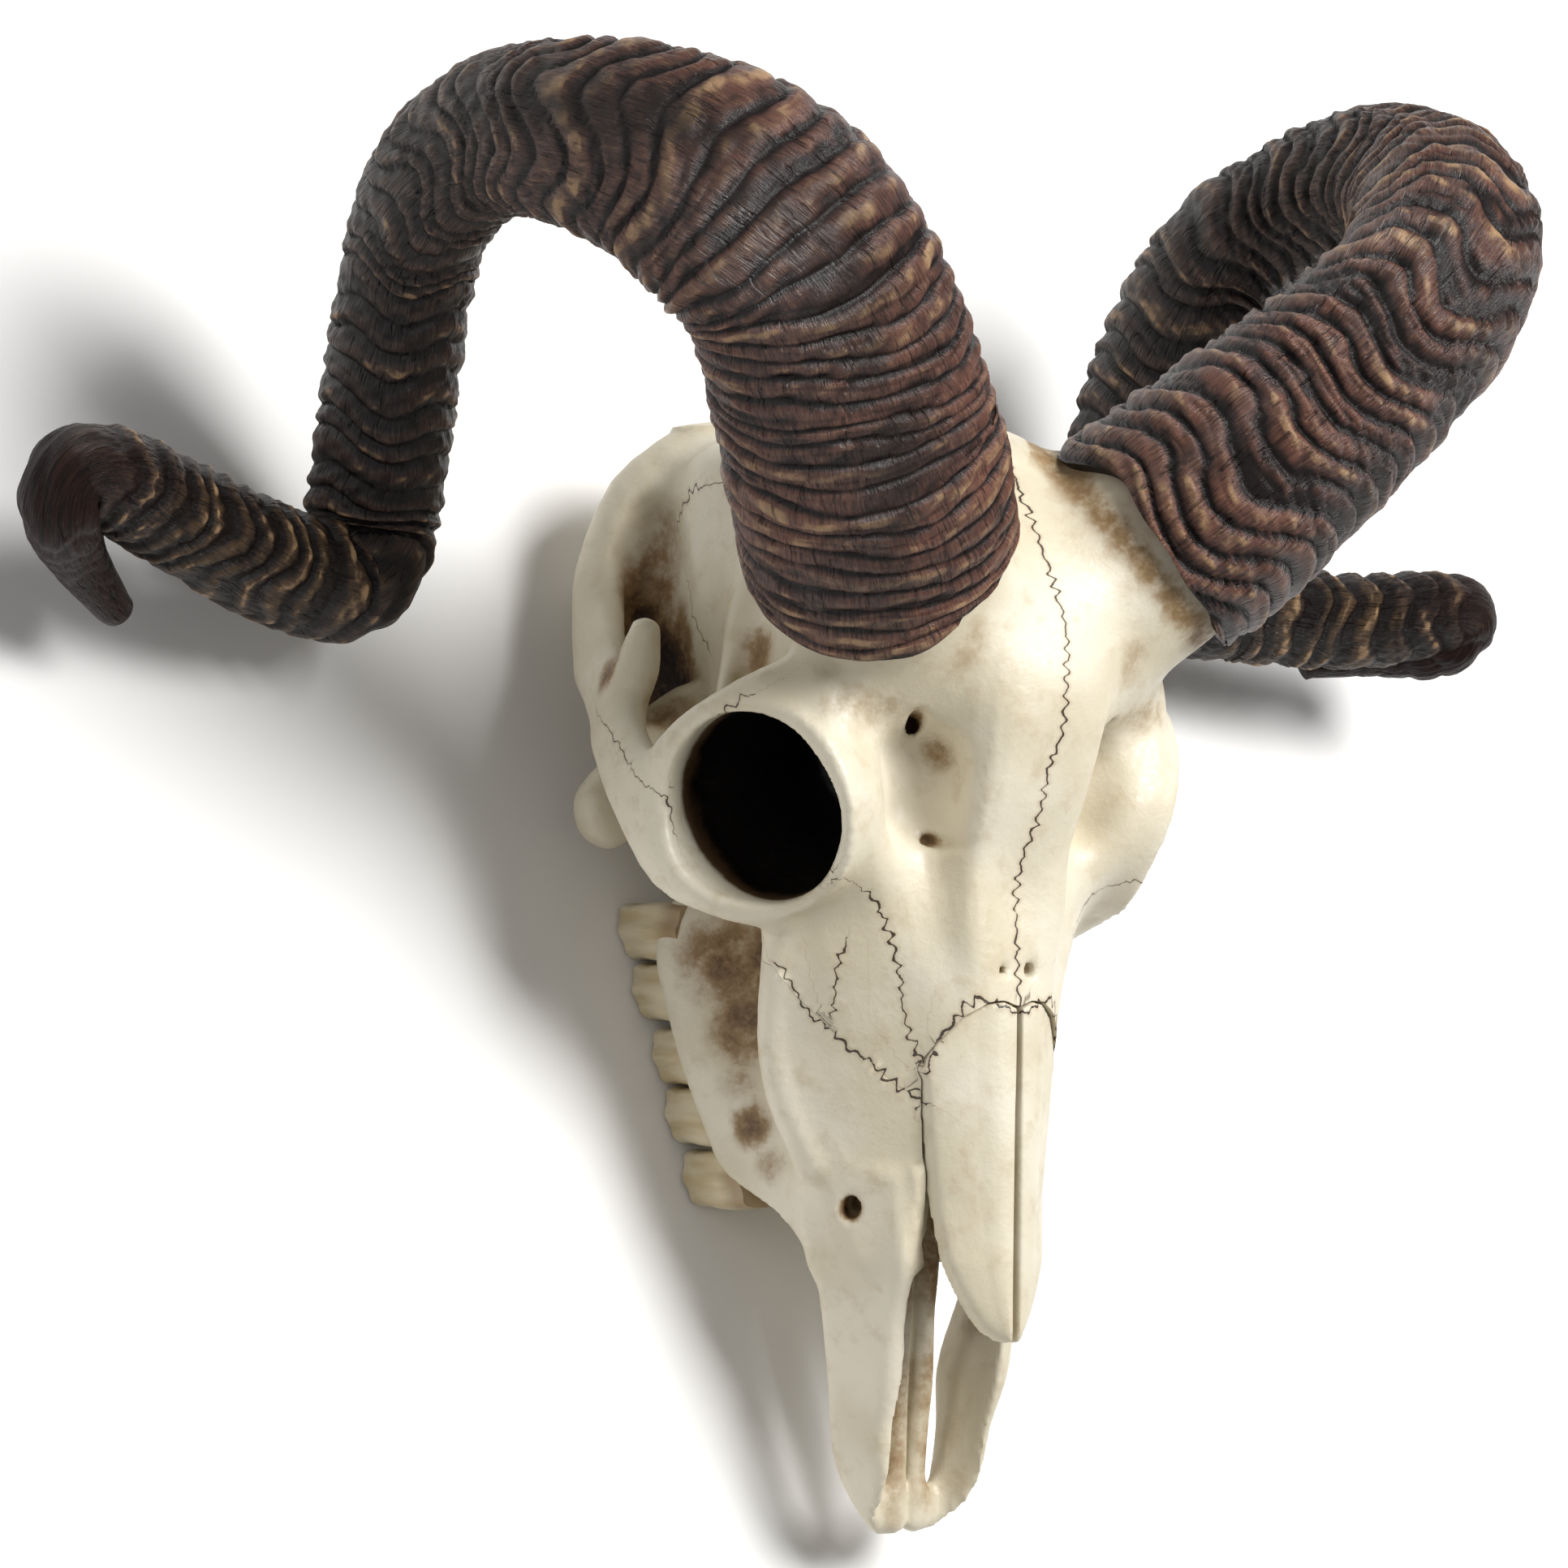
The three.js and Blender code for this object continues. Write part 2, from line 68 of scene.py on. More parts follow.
# Cones along the eye socket's axis, for its hollow, the wall round it and the rim that is blended
# on last: mouth radius, floor radius, how far it stands past the rim, and depth.
SOCKET = (ORBIT_WIDE, 12, 16, ORBIT_DEEP)
SOCKET_WALL = (22.8, 16.2, 0.5, 30)
SOCKET_RIM = (23.6, 15.5, 0.5, 34)

# Lines that run the length of the skull: stations of y, x, z.
CROWN = [[28, 0, -1.5], [84, 0, -1.5], [108, 0, -3.9], [126, 0, 2.7], [144, 0, 10.6],
         [155, 0, 12.3], [170, 0, 10.5], [191, 0, 0], [205, 0, -8]]
PLATEAU = [[28, 6, -2.2], [60, 7, -2.2], [84, 8.5, -2.9], [97, 11.5, -2.8], [117, 13.5, -1.0],
           [133, 14.5, 4.8], [147, 16, 8], [160, 15, 9], [175, 10, 7.5], [205, 7, -9]]
FOREHEAD_HOLLOW = [[28, 9, -14], [36, 9, -10], [45, 9.6, -3.6], [60, 11, -3.6], [84, 14, -6],
                   [100, 18, -9], [122, 21, -12.5], [140, 25, -12.8], [150, 27, -7],
                   [160, 24, 0], [175, 19, 2], [205, 14, -13]]
BROW = [[28, 17.2, -25], [34, 16.8, -20.5], [40, 15.8, -15.5], [48, 15.4, -12.5],
        [60, 18, -13.5], [84, 22.5, -15], [104, 31, -17.5], [120, 42, -10], [132, 47, -7],
        [146, 50, -9], [158, 42, -13], [175, 33, -16], [205, 25, -25]]
CHEEK = [[28, 24, -28], [45, 30, -33], [60, 35, -42], [73, 38, -44], [91, 40, -38],
         [108, 42, -36], [130, 40, -40], [150, 38, -46], [165, 37, -48], [205, 33, -48]]
UNDER_CHEEK = [[28, 26, -38], [45, 28, -47], [60, 25.5, -52], [91, 22.5, -58], [108, 22, -62],
               [130, 27, -70], [150, 31, -76], [180, 36, -82], [205, 34, -75]]
TOOTH_ROOTS = [[28, 25, -43], [42, 29, -60], [60, 31.5, -68], [73, 33.5, -72], [91, 35.5, -79],
               [103, 34.5, -82], [112, 23.5, -76], [135, 23, -86], [150, 28, -92], [180, 34, -98],
               [205, 30, -88]]
GUM = [[28, 22, -47], [37, 27, -52], [42, 30, -70], [60, 33, -77], [73, 35, -82],
       [91, 36, -89], [104, 34.5, -90], [112, 23, -84], [135, 19, -98], [150, 24, -108],
       [165, 30, -115], [180, 32, -116], [205, 24, -100]]
INNER_GUM = [[28, 12, -46], [42, 21, -70], [60, 24, -79], [91, 26, -91], [103, 24, -92],
             [112, 14, -86], [135, 9, -99], [150, 11, -111], [165, 14, -118],
             [180, 14, -121], [205, 12, -105]]
PALATE = [[28, 0, -45], [45, 0, -56], [73, 0, -68], [91, 0, -73], [110, 0, -79],
          [135, 0, -98], [150, 0, -111], [165, 0, -118], [180, 0, -121], [205, 0, -106]]
LINES = [CROWN, PLATEAU, FOREHEAD_HOLLOW, BROW, CHEEK, UNDER_CHEEK, TOOTH_ROOTS, GUM,
         INNER_GUM, PALATE]

# Limbs: rows of x, y, z, half thickness and half height.
CHEEK_ARCH = [[44, 105, -33, 4, 5], [55, 109, -40, 4, 6], [61, 115, -49, 4, 8],
              [62, 126, -58, 3.5, 9], [61, 137, -67, 3.2, 8], [58, 146, -75, 3.2, 7.5],
              [52, 157, -87, 3.5, 8], [45.5, 168, -97, 3.4, 7],
              [42, 179, -101, 3, 5]]
POSTORBITAL_BAR = [[48, 152, -16, 4, 7], [58, 148, -27, 3.4, 6], [63, 139, -41, 3.2, 6],
                   [62, 130, -54, 3, 7]]
NUCHAL_CREST = [[48, 160, -92, 4, 8], [43, 168, -99, 6, 8], [40, 182, -103, 7, 8],
                [34, 197, -99, 8, 9], [22, 206, -92, 9, 9], [0, 209, -90, 9, 9]]
JOINT_KNOB = [[59, 142, -71, 3, 5], [58, 150, -71, 4, 5], [56, 158, -70, 4.5, 5.5],
              [54.5, 166, -69, 3, 4]]
JOINT_SHELF = [[34, 148, -82, 6, 8], [48, 146, -79, 5, 7], [58, 144, -75, 4, 6]]
EAR_BULB = [[28, 140, -86, 8, 9], [38, 133, -90, 9, 10], [45, 127, -93, 9, 9],
            [46, 122, -93, 5, 5]]
NUCHAL_HOOK = [[27, 158, -102, 8, 10], [29, 166, -112, 6, 8], [30, 172, -120, 4.5, 6],
               [30.5, 175, -128, 4, 5]]
CONDYLE = [[11, 166, -119, 8, 9], [11, 174, -119, 8, 9]]
HORN_CORE = [[15.5, 162, -24.6, 26, 26], [36.5, 185.5, -6.3, 26, 26]]
TEMPLE_HOLLOW = [[50, 147, -61, 9, 8], [46, 159, -76, 10, 12], [41.5, 172, -85, 8.5, 12],
                 [39, 184, -88, 7.5, 10], [37, 193, -90, 5, 6]]
CHEEK_RIDGE = [[41.5, 104, -37, 3, 4], [39.5, 91, -39.5, 2.2, 3.4], [37, 76, -43.5, 2.2, 3],
               [34, 62, -43, 2, 3], [30, 46, -38, 2, 3]]
TEMPORAL_LINE = [[46, 151, -52, 1.6, 2], [41, 158, -56, 1.4, 2], [37, 167, -57, 1.4, 1.8],
                 [34.5, 176, -54, 1.2, 1.5]]
FOREHEAD_PIT = [[23.5, 126.5, -9.2, 8, 9], [24, 135, -7.6, 9, 9]]
CHEEK_HOLLOW = [[47, 84, -56, 9, 8], [50, 98, -60, 14, 12], [50, 120, -71, 17, 15],
                [46, 136, -80, 12, 8]]
NERVE_HOLE = [[0, 165, -126, 8.5, 11], [0, 179, -126, 8.5, 11]]
SMALL_HOLES = [[[21, 144.5, -16, 1.7, 1.7], [28, 146.5, -4, 1.8, 1.8]],
               [[17.5, 119.5, -14, 1.5, 1.4], [16.3, 118.8, -1, 1.6, 1.8]],
               [[19, 39, -33, 1.9, 2.3], [28, 37, -27, 1.9, 2.6]],
               [[3.9, 91.5, -6, 0.9, 0.9], [4.0, 90, 0, 0.9, 1.1]]]

# The upper jaw from the side, in y and z: what lies inside this outline is its own bone.
JAW_OUTLINE = [[-60, 14], [40, 14], [61.5, -12.9], [65.5, -18.4], [69.9, -21.8], [73.4, -26.3],
               [77.9, -29.8], [84.1, -34.2], [91.2, -37], [97, -58], [112, -63], [112, -116],
               [-60, -116]]

# Nose passage: half width and half height of its oval at stations of y, and its middle in z.
PASSAGE_AT = [28, 45, 60, 67, 68]
PASSAGE_WIDE = [14, 12.5, 9, 4, 0.1]
PASSAGE_HIGH = [19, 17, 13, 7, 0.1]
PASSAGE_Z = -25

# Front of the jaw: a leaning blade (y, lower x and z, upper x and z, half thickness), and a slim
# bar beside the midline.
BLADE = [[44, 26, -45, 18.2, -18.5, 2.4], [27.7, 25, -43, 17.2, -17, 3],
         [16, 20.5, -44.5, 15.2, -21, 3.2], [0, 16.4, -46, 14.4, -24, 3.4],
         [-12, 15.6, -45.6, 12.7, -27.4, 3.6], [-22, 14.2, -45, 11, -28.4, 3.8],
         [-30, 11.2, -43.2, 8.8, -32, 3.8], [-35, 8.2, -41.5, 5.6, -37.6, 3],
         [-37, 6, -41, 4.6, -39.6, 1.8]]
PALATE_BAR = [[3.6, 38, -37, 3.4, 3.4], [3.5, 20, -38, 3.3, 3], [3.3, 0, -39, 3.1, 2.8],
              [2.9, -20, -40, 2.7, 2.6], [2.6, -34, -40.4, 2.4, 2.2]]
NASAL_SPIKE = [[17.4, 46, -16, 1.6, 2], [16.4, 33, -17.6, 1.2, 1.6], [14.6, 24.5, -19, 0.5, 0.6]]
NOSE_TIP = [[4.5, -33, -41, 3.4, 2.3], [4.6, -29, -41, 3.4, 2.4]]
JAW_FRONT, BLADE_BACK, BLADE_TIP = 28.0, 44, -36.9

# Patches, partly old dirt and partly painted shade in hollows: place, half sizes along x, y and z,
# and strength.
DIRT_AND_SHADE_PATCHES = [[36, 170, -94, 9, 16, 9, 0.72], [31, 156, -94, 8, 14, 13, 1.35],
          [31.5, 163, -85, 5, 12, 6, 0.7], [58, 157, -76, 5, 8, 5, 0.8],
          [45, 150, -70, 12, 9, 11, 0.9],
          [39, 161, -47, 5, 8, 7, 0.6], [25, 37.6, -29, 2.4, 2.8, 3, 1.6],
          [32, 93, -64, 14, 13, 17, 0.8], [27, 77, -66, 8, 11, 9, 0.75],
          [29, 64, -66, 5, 5, 6, 0.5], [28, 55, -61, 6, 6, 6, 0.75], [28, 46, -54, 5, 5, 6, 0.4],
          [41, 149, -7, 14, 6, 9, 0.32],
          [24, 166, 6, 7, 14, 6, 0.35], [8, 26, -32, 10, 20, 12, 0.7], [5, -8, -38, 5, 28, 5, 0.5]]

# Stain round the foot of each horn: strength, spread along the horn, and outer radius.
COLLAR_STAIN, COLLAR_SPREAD, COLLAR_RADIUS = 0.6, 5, 36

# Sutures: runs of points on the bone, for one side, and the one along the midline.
SUTURES = [
    [[0.2, 81.1, -1.7], [8.8, 84.3, -2.9], [13, 82.9, -4.8], [16.2, 76.5, -7.8],
     [18.7, 68.7, -11.7]],
    [[44.6, 112, -11.8], [36.1, 111.2, -16.7], [31.5, 106.8, -15.2], [27.2, 98.8, -14.6],
     [24, 89.8, -14.7], [22.1, 79.1, -14.8], [18.9, 69.8, -12.3]],
    [[33, 95.4, -23.1], [32.7, 89.6, -26.1], [31.6, 82.4, -28], [31.9, 77.9, -29.8]],
    [[39.5, 91.2, -37], [36.6, 84.1, -34.2], [33.7, 79.6, -31.9], [31.9, 77.9, -29.8],
     [28.9, 73.4, -26.3], [25.5, 69.9, -21.8], [22.4, 65.5, -18.4], [17.6, 61.5, -12.9]],
    [[62.6, 153, -20], [62.6, 146.4, -28.9]],
    [[34, 200, -66], [34, 199.6, -77.5], [34, 196.4, -81.2], [33.3, 193.8, -85.9],
     [34, 190.6, -88.4], [35.2, 185.5, -84.8], [35.4, 181.8, -85.4], [35.7, 175.9, -80.3],
     [34.8, 171.6, -80.4], [34.5, 168.4, -77.8], [34.2, 163.5, -74.1]],
    [[60.9, 147.2, -75.4], [62.7, 142.9, -69.1], [64, 136.9, -61.8], [64.9, 131.4, -53.9],
     [64.8, 129.2, -48.1], [62.6, 121.9, -45.1]]]
MIDLINE = [
    [0, 84, -1.5], [0, 96, -2.8], [0, 108, -3.9], [0, 117, -0.6], [1, 126, 2.7],
     [0, 135, 6.7], [1.5, 144, 10.6], [0.5, 155, 12.3], [1.6, 165, 11], [0.6, 180, 5.4],
    [0, 191, 0], [0, 204, -7]]


def to_row(points):
    """Face-frame millimetres to row-frame metres: a turn about x by the rest tilt, then a shift."""
    x, y, z = np.asarray(points, float).T / 1000
    c, s = math.cos(REST_TILT), math.sin(REST_TILT)
    return np.stack([x, y * c - z * s, y * s + z * c], 1) + FACE_ORIGIN


def spline(rows, steps):
    """Points along a Catmull-Rom curve through the rows, steps to each span; every column is
    carried along with the place."""
    rows = np.asarray(rows, float)
    padded = np.vstack([2 * rows[0] - rows[1], rows, 2 * rows[-1] - rows[-2]])
    t = np.linspace(0, 1, steps, endpoint=False)[:, None]
    spans = []
    for a, b, c, d in zip(padded, padded[1:], padded[2:], padded[3:]):
        spans.append(0.5 * (2 * b + (c - a) * t + (2 * a - 5 * b + 4 * c - d) * t**2
                            + (3 * b - a - 3 * c + d) * t**3))
    return np.vstack(spans + [rows[-1:]])


def join(a, b, soft):
    """The union of two fields, with a fillet about soft wide where they meet."""
    h = np.maximum(soft - np.abs(a - b), 0) / soft
    return np.minimum(a, b) - h * h * soft / 4


def cut(a, b, soft):
    """Field a with b taken out of it, the edge rounded by soft."""
    return -join(-a, b, soft)


def limb_field(at, rows):
    """Distance to a limb: over the spans of its curve, the least distance to an ellipsoid whose
    half axes are the limb's thickness across, its height, and the smaller of them at the ends."""
    curve = spline(rows, 3) if len(rows) > 2 else np.asarray(rows, float)
    best = None
    for a, b in zip(curve, curve[1:]):
        way = b[:3] - a[:3]
        length = np.linalg.norm(way)
        way = way / length
        off = [p - q for p, q in zip(at, a[:3])]
        share = np.clip(sum(o * w for o, w in zip(off, way)) / length, 0, 1)
        off = [o - share * length * w for o, w in zip(off, way)]
        across = np.array([1.0, 0, 0]) - way * way[0]
        across /= np.linalg.norm(across)
        rise = np.cross(way, across)
        thick = a[3] + (b[3] - a[3]) * share
        high = a[4] + (b[4] - a[4]) * share
        axes = [(across, thick), (rise, high), (way, np.minimum(thick, high))]
        parts = [(sum(o * w for o, w in zip(off, axis)), half) for axis, half in axes]
        k0 = np.sqrt(sum((d / h)**2 for d, h in parts))
        k1 = np.sqrt(sum((d / h**2)**2 for d, h in parts)) + 1e-6
        field = np.where(k0 < 0.05, -np.minimum(thick, high), k0 * (k0 - 1) / k1)
        best = field if best is None else np.minimum(best, field)
    return best


def outline_field(px, py, outline):
    """Signed distance from points in a plane to a closed outline, negative inside it."""
    a = np.asarray(outline, np.float32)
    b = np.roll(a, -1, 0)
    flat = np.stack([px.ravel(), py.ravel()], 1).astype(np.float32)[:, None]
    edge, off = b - a, flat - a
    share = np.clip((off * edge).sum(-1) / (edge**2).sum(-1), 0, 1)
    distance = np.sqrt(((off - share[..., None] * edge)**2).sum(-1)).min(1)
    above = a[:, 1] > flat[..., 1]
    straddles = above != (b[:, 1] > flat[..., 1])
    slope = np.where(edge[:, 1] == 0, 1, edge[:, 1])
    crossing = a[:, 0] + (flat[..., 1] - a[:, 1]) / slope * edge[:, 0]
    inside = (straddles & (flat[..., 0] < crossing)).sum(1) % 2 == 1
    return np.where(inside, -distance, distance).reshape(px.shape)


def grid(low, high, step):
    """Coordinates of a box of voxels, as three arrays that broadcast to the box."""
    sides = [np.arange(a, b + step, step, dtype=np.float32) for a, b in zip(low, high)]
    return np.meshgrid(*sides, indexing="ij", sparse=True)


def within(at, rows, reach):
    """The part of a box that lies within reach of a limb's rows: its slices and coordinates."""
    rows = np.asarray(rows, float)
    grow = reach + rows[:, 3:].max()
    picks = []
    for axis, side in enumerate(at):
        side = side.ravel()
        low, high = rows[:, axis].min() - grow, rows[:, axis].max() + grow
        first, last = np.searchsorted(side, [low, high])
        picks.append(slice(min(first, len(side) - 1), max(last, first + 1)))
    return tuple(picks), [a[tuple(p if a.shape[i] > 1 else slice(None)
                                  for i, p in enumerate(picks))] for a in at]


def add_limb(field, at, rows, soft, change=join):
    """Joins a limb to the field, or cuts it out, changing only the voxels near it."""
    picks, near = within(at, rows, soft + 3)
    field[picks] = change(field[picks], limb_field(near, rows).astype(np.float32), soft)


def blurred(values, reach):
    """Two box blurs along each axis, each the mean over the reach in voxels on either side."""
    for axis in range(values.ndim):
        for _ in range(2):
            pads = [(reach + 1, reach) if i == axis else (0, 0) for i in range(values.ndim)]
            total = np.cumsum(np.pad(values, pads, mode="edge"), axis, dtype=np.float32)
            count = values.shape[axis]
            high = np.take(total, range(2 * reach + 1, 2 * reach + 1 + count), axis)
            values = (high - np.take(total, range(count), axis)) / (2 * reach + 1)
    return values


def body_field(at):
    """The skull without its limbs: at every y the distance to the cross-section there, made
    smaller where the section changes fast, with a dome over the back."""
    x, y, z = at
    stations = np.arange(28, 204, 1.0)
    smooth = np.exp(-0.5 * (np.arange(-9, 10) / 3.0)**2)
    smooth /= smooth.sum()
    lines = []
    for line in LINES:
        rows = np.array(line, float)
        ends = [np.interp(stations, rows[:, 0], rows[:, k]) for k in (1, 2)]
        lines.append([np.convolve(np.pad(e, 9, mode="reflect", reflect_type="odd"), smooth,
                                  "valid") for e in ends])
    lines = np.array(lines)
    lines[[0, -1], 0] = 0
    px, pz = (a.squeeze(1) for a in np.broadcast_arrays(x, z))
    field = np.empty((x.size, y.size, z.size), np.float32)
    back, centre, reach = 203.0, -56.0, 13.0
    for k, here in enumerate(y.ravel()):
        swing = np.arcsin(np.clip((here - back) / reach, 0, 0.9999))
        size = np.cos(swing)**0.8
        index = np.clip(here, 28, back) - 28
        half = np.stack([[np.interp(index, np.arange(len(stations)), c) for c in line]
                         for line in lines])
        loop = np.vstack([half, half[-2:0:-1] * [-1, 1]])
        curve = spline(np.vstack([loop[-1:], loop, loop[:2]]), 4)[4:-8]
        slice_field = outline_field(px / size, centre + (pz - centre) / size, curve) * size
        field[:, k] = slice_field + max(here - back - reach, 0)
    slope = np.sqrt(1 + np.gradient(field, float(y.ravel()[1] - y.ravel()[0]), axis=1)**2)
    return cut(field / slope, y - JAW_FRONT + 4 + np.zeros_like(field), 6)


def orbit_cone(at, mouth, floor, top, deep):
    """Distance to a cone along the eye socket's axis, from its mouth radius at top to its floor
    radius at deep; its section is the socket's oval."""
    out = ORBIT_FACING
    rise = np.array([0, 1.0, 0]) - out * out[1]
    rise /= np.linalg.norm(rise)
    side = np.cross(out, rise)
    off = [p - c for p, c in zip(at, ORBIT_CENTRE)]
    along, up, wide = (sum(o * w for o, w in zip(off, axis)) for axis in (out, rise, side))
    around = np.sqrt(wide**2 + (up * ORBIT_WIDE / ORBIT_TALL)**2)
    radius = np.interp(along, [-deep, -ORBIT_STRAIGHT, top], [floor, mouth, mouth + 0.5])
    return np.maximum(around - radius, np.maximum(along - top, -deep - along))


NASAL_GAP = 1.3


def nasal_half(y):
    """Half width of a nasal bone: an ogive at its tip, then a slow widening to its root."""
    pointed = 13.5 * np.sqrt(np.clip((y - 8) / 18, 0, 1))
    return pointed + 5 * np.maximum((y - 26) / 44, 0)**0.9


def nasal_outline(grow):
    """One nasal bone from above: straight midline, curved side and rounded root."""
    y = np.arange(8.5, 68, 2.0)
    side = np.stack([nasal_half(y) + grow, y], 1)
    root = np.array([[19.2, 69], [17, 74.5], [13, 80.5], [8, 83.5], [4, 84]])
    root = root + [grow * 0.6, grow]
    middle = NASAL_GAP / 2 if grow < 0 else -grow
    return np.vstack([[[middle, 8]], side, root, [[middle, 82.5 + grow]]])


def blade_field(at):
    """Distance to the leaning blade: at every y, to a stroke from its lower to its upper edge."""
    x, y, z = at
    rows = spline(BLADE, 6)[::-1]
    low_x, low_z, high_x, high_z, half = (np.interp(y, rows[:, 0], rows[:, k])
                                          for k in range(1, 6))
    span = np.hypot(high_x - low_x, high_z - low_z)
    up_x, up_z = (high_x - low_x) / span, (high_z - low_z) / span
    share = (x - low_x) * up_x + (z - low_z) * up_z
    off = np.clip(share, half, np.maximum(span - half, half))
    field = np.hypot(x - low_x - off * up_x, z - low_z - off * up_z) - half
    return np.maximum(field, np.maximum(y - BLADE_BACK, BLADE_TIP - y)).astype(np.float32)


def whole_skull(at):
    """Sections, limbs and hollows blended into one field, on the side where x is positive;
    with it comes the field of the nasal bone's slot."""
    field = join(body_field(at), blade_field(at), 6)
    field = join(field, orbit_cone(at, *SOCKET_WALL).astype(np.float32), 8)
    for rows, soft in ((CHEEK_ARCH, 6), (POSTORBITAL_BAR, 5), (NUCHAL_CREST, 7),
                       (JOINT_SHELF, 4), (EAR_BULB, 4), (NUCHAL_HOOK, 4), (CONDYLE, 3),
                       (HORN_CORE, 10), (CHEEK_RIDGE, 5)):
        add_limb(field, at, rows, soft)
    socket = orbit_cone(at, *SOCKET).astype(np.float32)
    field = cut(field, socket, 2.6)
    add_limb(field, at, TEMPORAL_LINE, 9)
    add_limb(field, at, FOREHEAD_PIT, 5, cut)
    for rows, soft in ((TEMPLE_HOLLOW, 4), (CHEEK_HOLLOW, 5)):
        add_limb(field, at, rows, soft, cut)
    field = join(field, orbit_cone(at, *SOCKET_RIM).astype(np.float32), 3)
    for rows, soft in ((JOINT_KNOB, 3), (POSTORBITAL_BAR, 4), (CHEEK_ARCH, 4)):
        add_limb(field, at, rows, soft)
    add_limb(field, at, NERVE_HOLE, 2, cut)
    field = cut(field, socket, 1.3)
    for rows in SMALL_HOLES:
        add_limb(field, at, rows, 1.2, cut)
    x, y, z = at
    wide = np.interp(y, PASSAGE_AT, PASSAGE_WIDE)
    high = np.interp(y, PASSAGE_AT, PASSAGE_HIGH)
    oval = np.sqrt((x / wide)**2 + ((z - PASSAGE_Z) / high)**2)
    passage = np.where(y < PASSAGE_AT[-1], (oval - 1) * wide, 9).astype(np.float32)
    field = cut(field, passage, 1)
    for rows, soft in ((PALATE_BAR, 1.5), (NOSE_TIP, 5), (NASAL_SPIKE, 2)):
        add_limb(field, at, rows, soft)
    px, py = (a.squeeze(2) for a in np.broadcast_arrays(x, y))
    slot = outline_field(px, py, nasal_outline(0.3))[:, :, None]
    slot = np.maximum(slot, -18 - z).astype(np.float32)
    return field, slot


def skin(field):
    """Quads over the zero level of a field: one corner in every cell that the level crosses,
    at the mean of the crossings on the cell's edges. Corners come in cell units."""
    inside = field < 0
    corners = np.array(list(product((0, 1), repeat=3)))
    size = np.array(field.shape) - 1
    filled = np.zeros(size, np.int8)
    for i, j, k in corners:
        filled += inside[i:i + size[0], j:j + size[1], k:k + size[2]]
    cells = np.argwhere((filled > 0) & (filled < 8))
    at = cells[:, None] + corners
    value = field[at[..., 0], at[..., 1], at[..., 2]]
    total, count = np.zeros((len(cells), 3)), np.zeros((len(cells), 1))
    for a, b in product(range(8), repeat=2):
        if a < b and abs(corners[a] - corners[b]).sum() == 1:
            crosses = ((value[:, a] < 0) != (value[:, b] < 0))[:, None]
            share = np.where(crosses, value[:, a:a + 1] / (value[:, a:a + 1]
                             - value[:, b:b + 1] + 1e-12), 0)
            total += crosses * (corners[a] + share * (corners[b] - corners[a]))
            count += crosses
    number = np.full(size, -1)
    number[tuple(cells.T)] = np.arange(len(cells))
    quads = []
    for axis in range(3):
        u, w = np.eye(3, dtype=int)[[(axis + 1) % 3, (axis + 2) % 3]]
        low = np.take(inside, range(size[axis]), axis)
        high = np.take(inside, range(1, size[axis] + 1), axis)
        at = np.argwhere(low != high)
        at = at[((at - u - w) >= 0).all(1) & (at < size).all(1)]
        quad = np.stack([number[tuple((at - step).T)] for step in (u + w, w, 0 * u, u)], 1)
        leaves = low[tuple(at.T)]
        quads.append(np.where(leaves[:, None], quad, quad[:, ::-1]))
    return cells + total / count, np.vstack(quads)


def stain_at(points):
    """How brown the bone is with old dirt and with painted shade in hollows: a patch's strength in
    its middle, fading to 0 outside it, and a band of stain round the foot of each horn."""
    folded = np.abs(points) * [1, 0, 0] + points * [0, 1, 1]
    found = np.zeros(len(points))
    for x, y, z, wide, tall, deep, strength in DIRT_AND_SHADE_PATCHES:
        off = (folded - [x, y, z]) / [wide, tall, deep]
        found = np.maximum(found, strength * np.exp(-(off**2).sum(1)**1.5))
    core, rim = (np.array(row[:3]) for row in HORN_CORE)
    way = (rim - core) / np.linalg.norm(rim - core)
    above = (folded - rim) @ way
    around = np.linalg.norm(folded - rim - above[:, None] * way, axis=1)
    collar = COLLAR_STAIN * np.exp(-((above + 1) / COLLAR_SPREAD)**2)
    return np.maximum(found, collar * (around < COLLAR_RADIUS))


def sampled(values, at):
    """Values of a voxel box at points given in cell units, linear between voxels."""
    at = np.clip(at, 0, np.array(values.shape) - 1.001)
    low = at.astype(int)
    part = at - low
    found = 0
    for corner in product((0, 1), repeat=3):
        weight = np.prod(np.where(corner, part, 1 - part), 1)
        found = found + weight * values[tuple((low + corner).T)]
    return found


ONTO_NEAR, ONTO_LIMIT = 1.6, 1.2


def onto(points, fields, voxel):
    """Moves points onto the zero level of each field in turn, a few times over, where they are
    near all of them, and none by more than the limit; both are in cells."""
    slopes = [np.gradient(f) for f in fields]
    near = np.all([np.abs(sampled(f, points)) < ONTO_NEAR * voxel for f in fields], 0)
    moved = points[near]
    for _ in range(4):
        for field, slope in zip(fields, slopes):
            value = sampled(field, moved)
            up = np.stack([sampled(s, moved) for s in slope], 1)
            moved = moved - (value / ((up**2).sum(1) + 1e-9))[:, None] * up
    step = np.clip(moved - points[near], -ONTO_LIMIT, ONTO_LIMIT)
    points[near] = points[near] + step
    return points


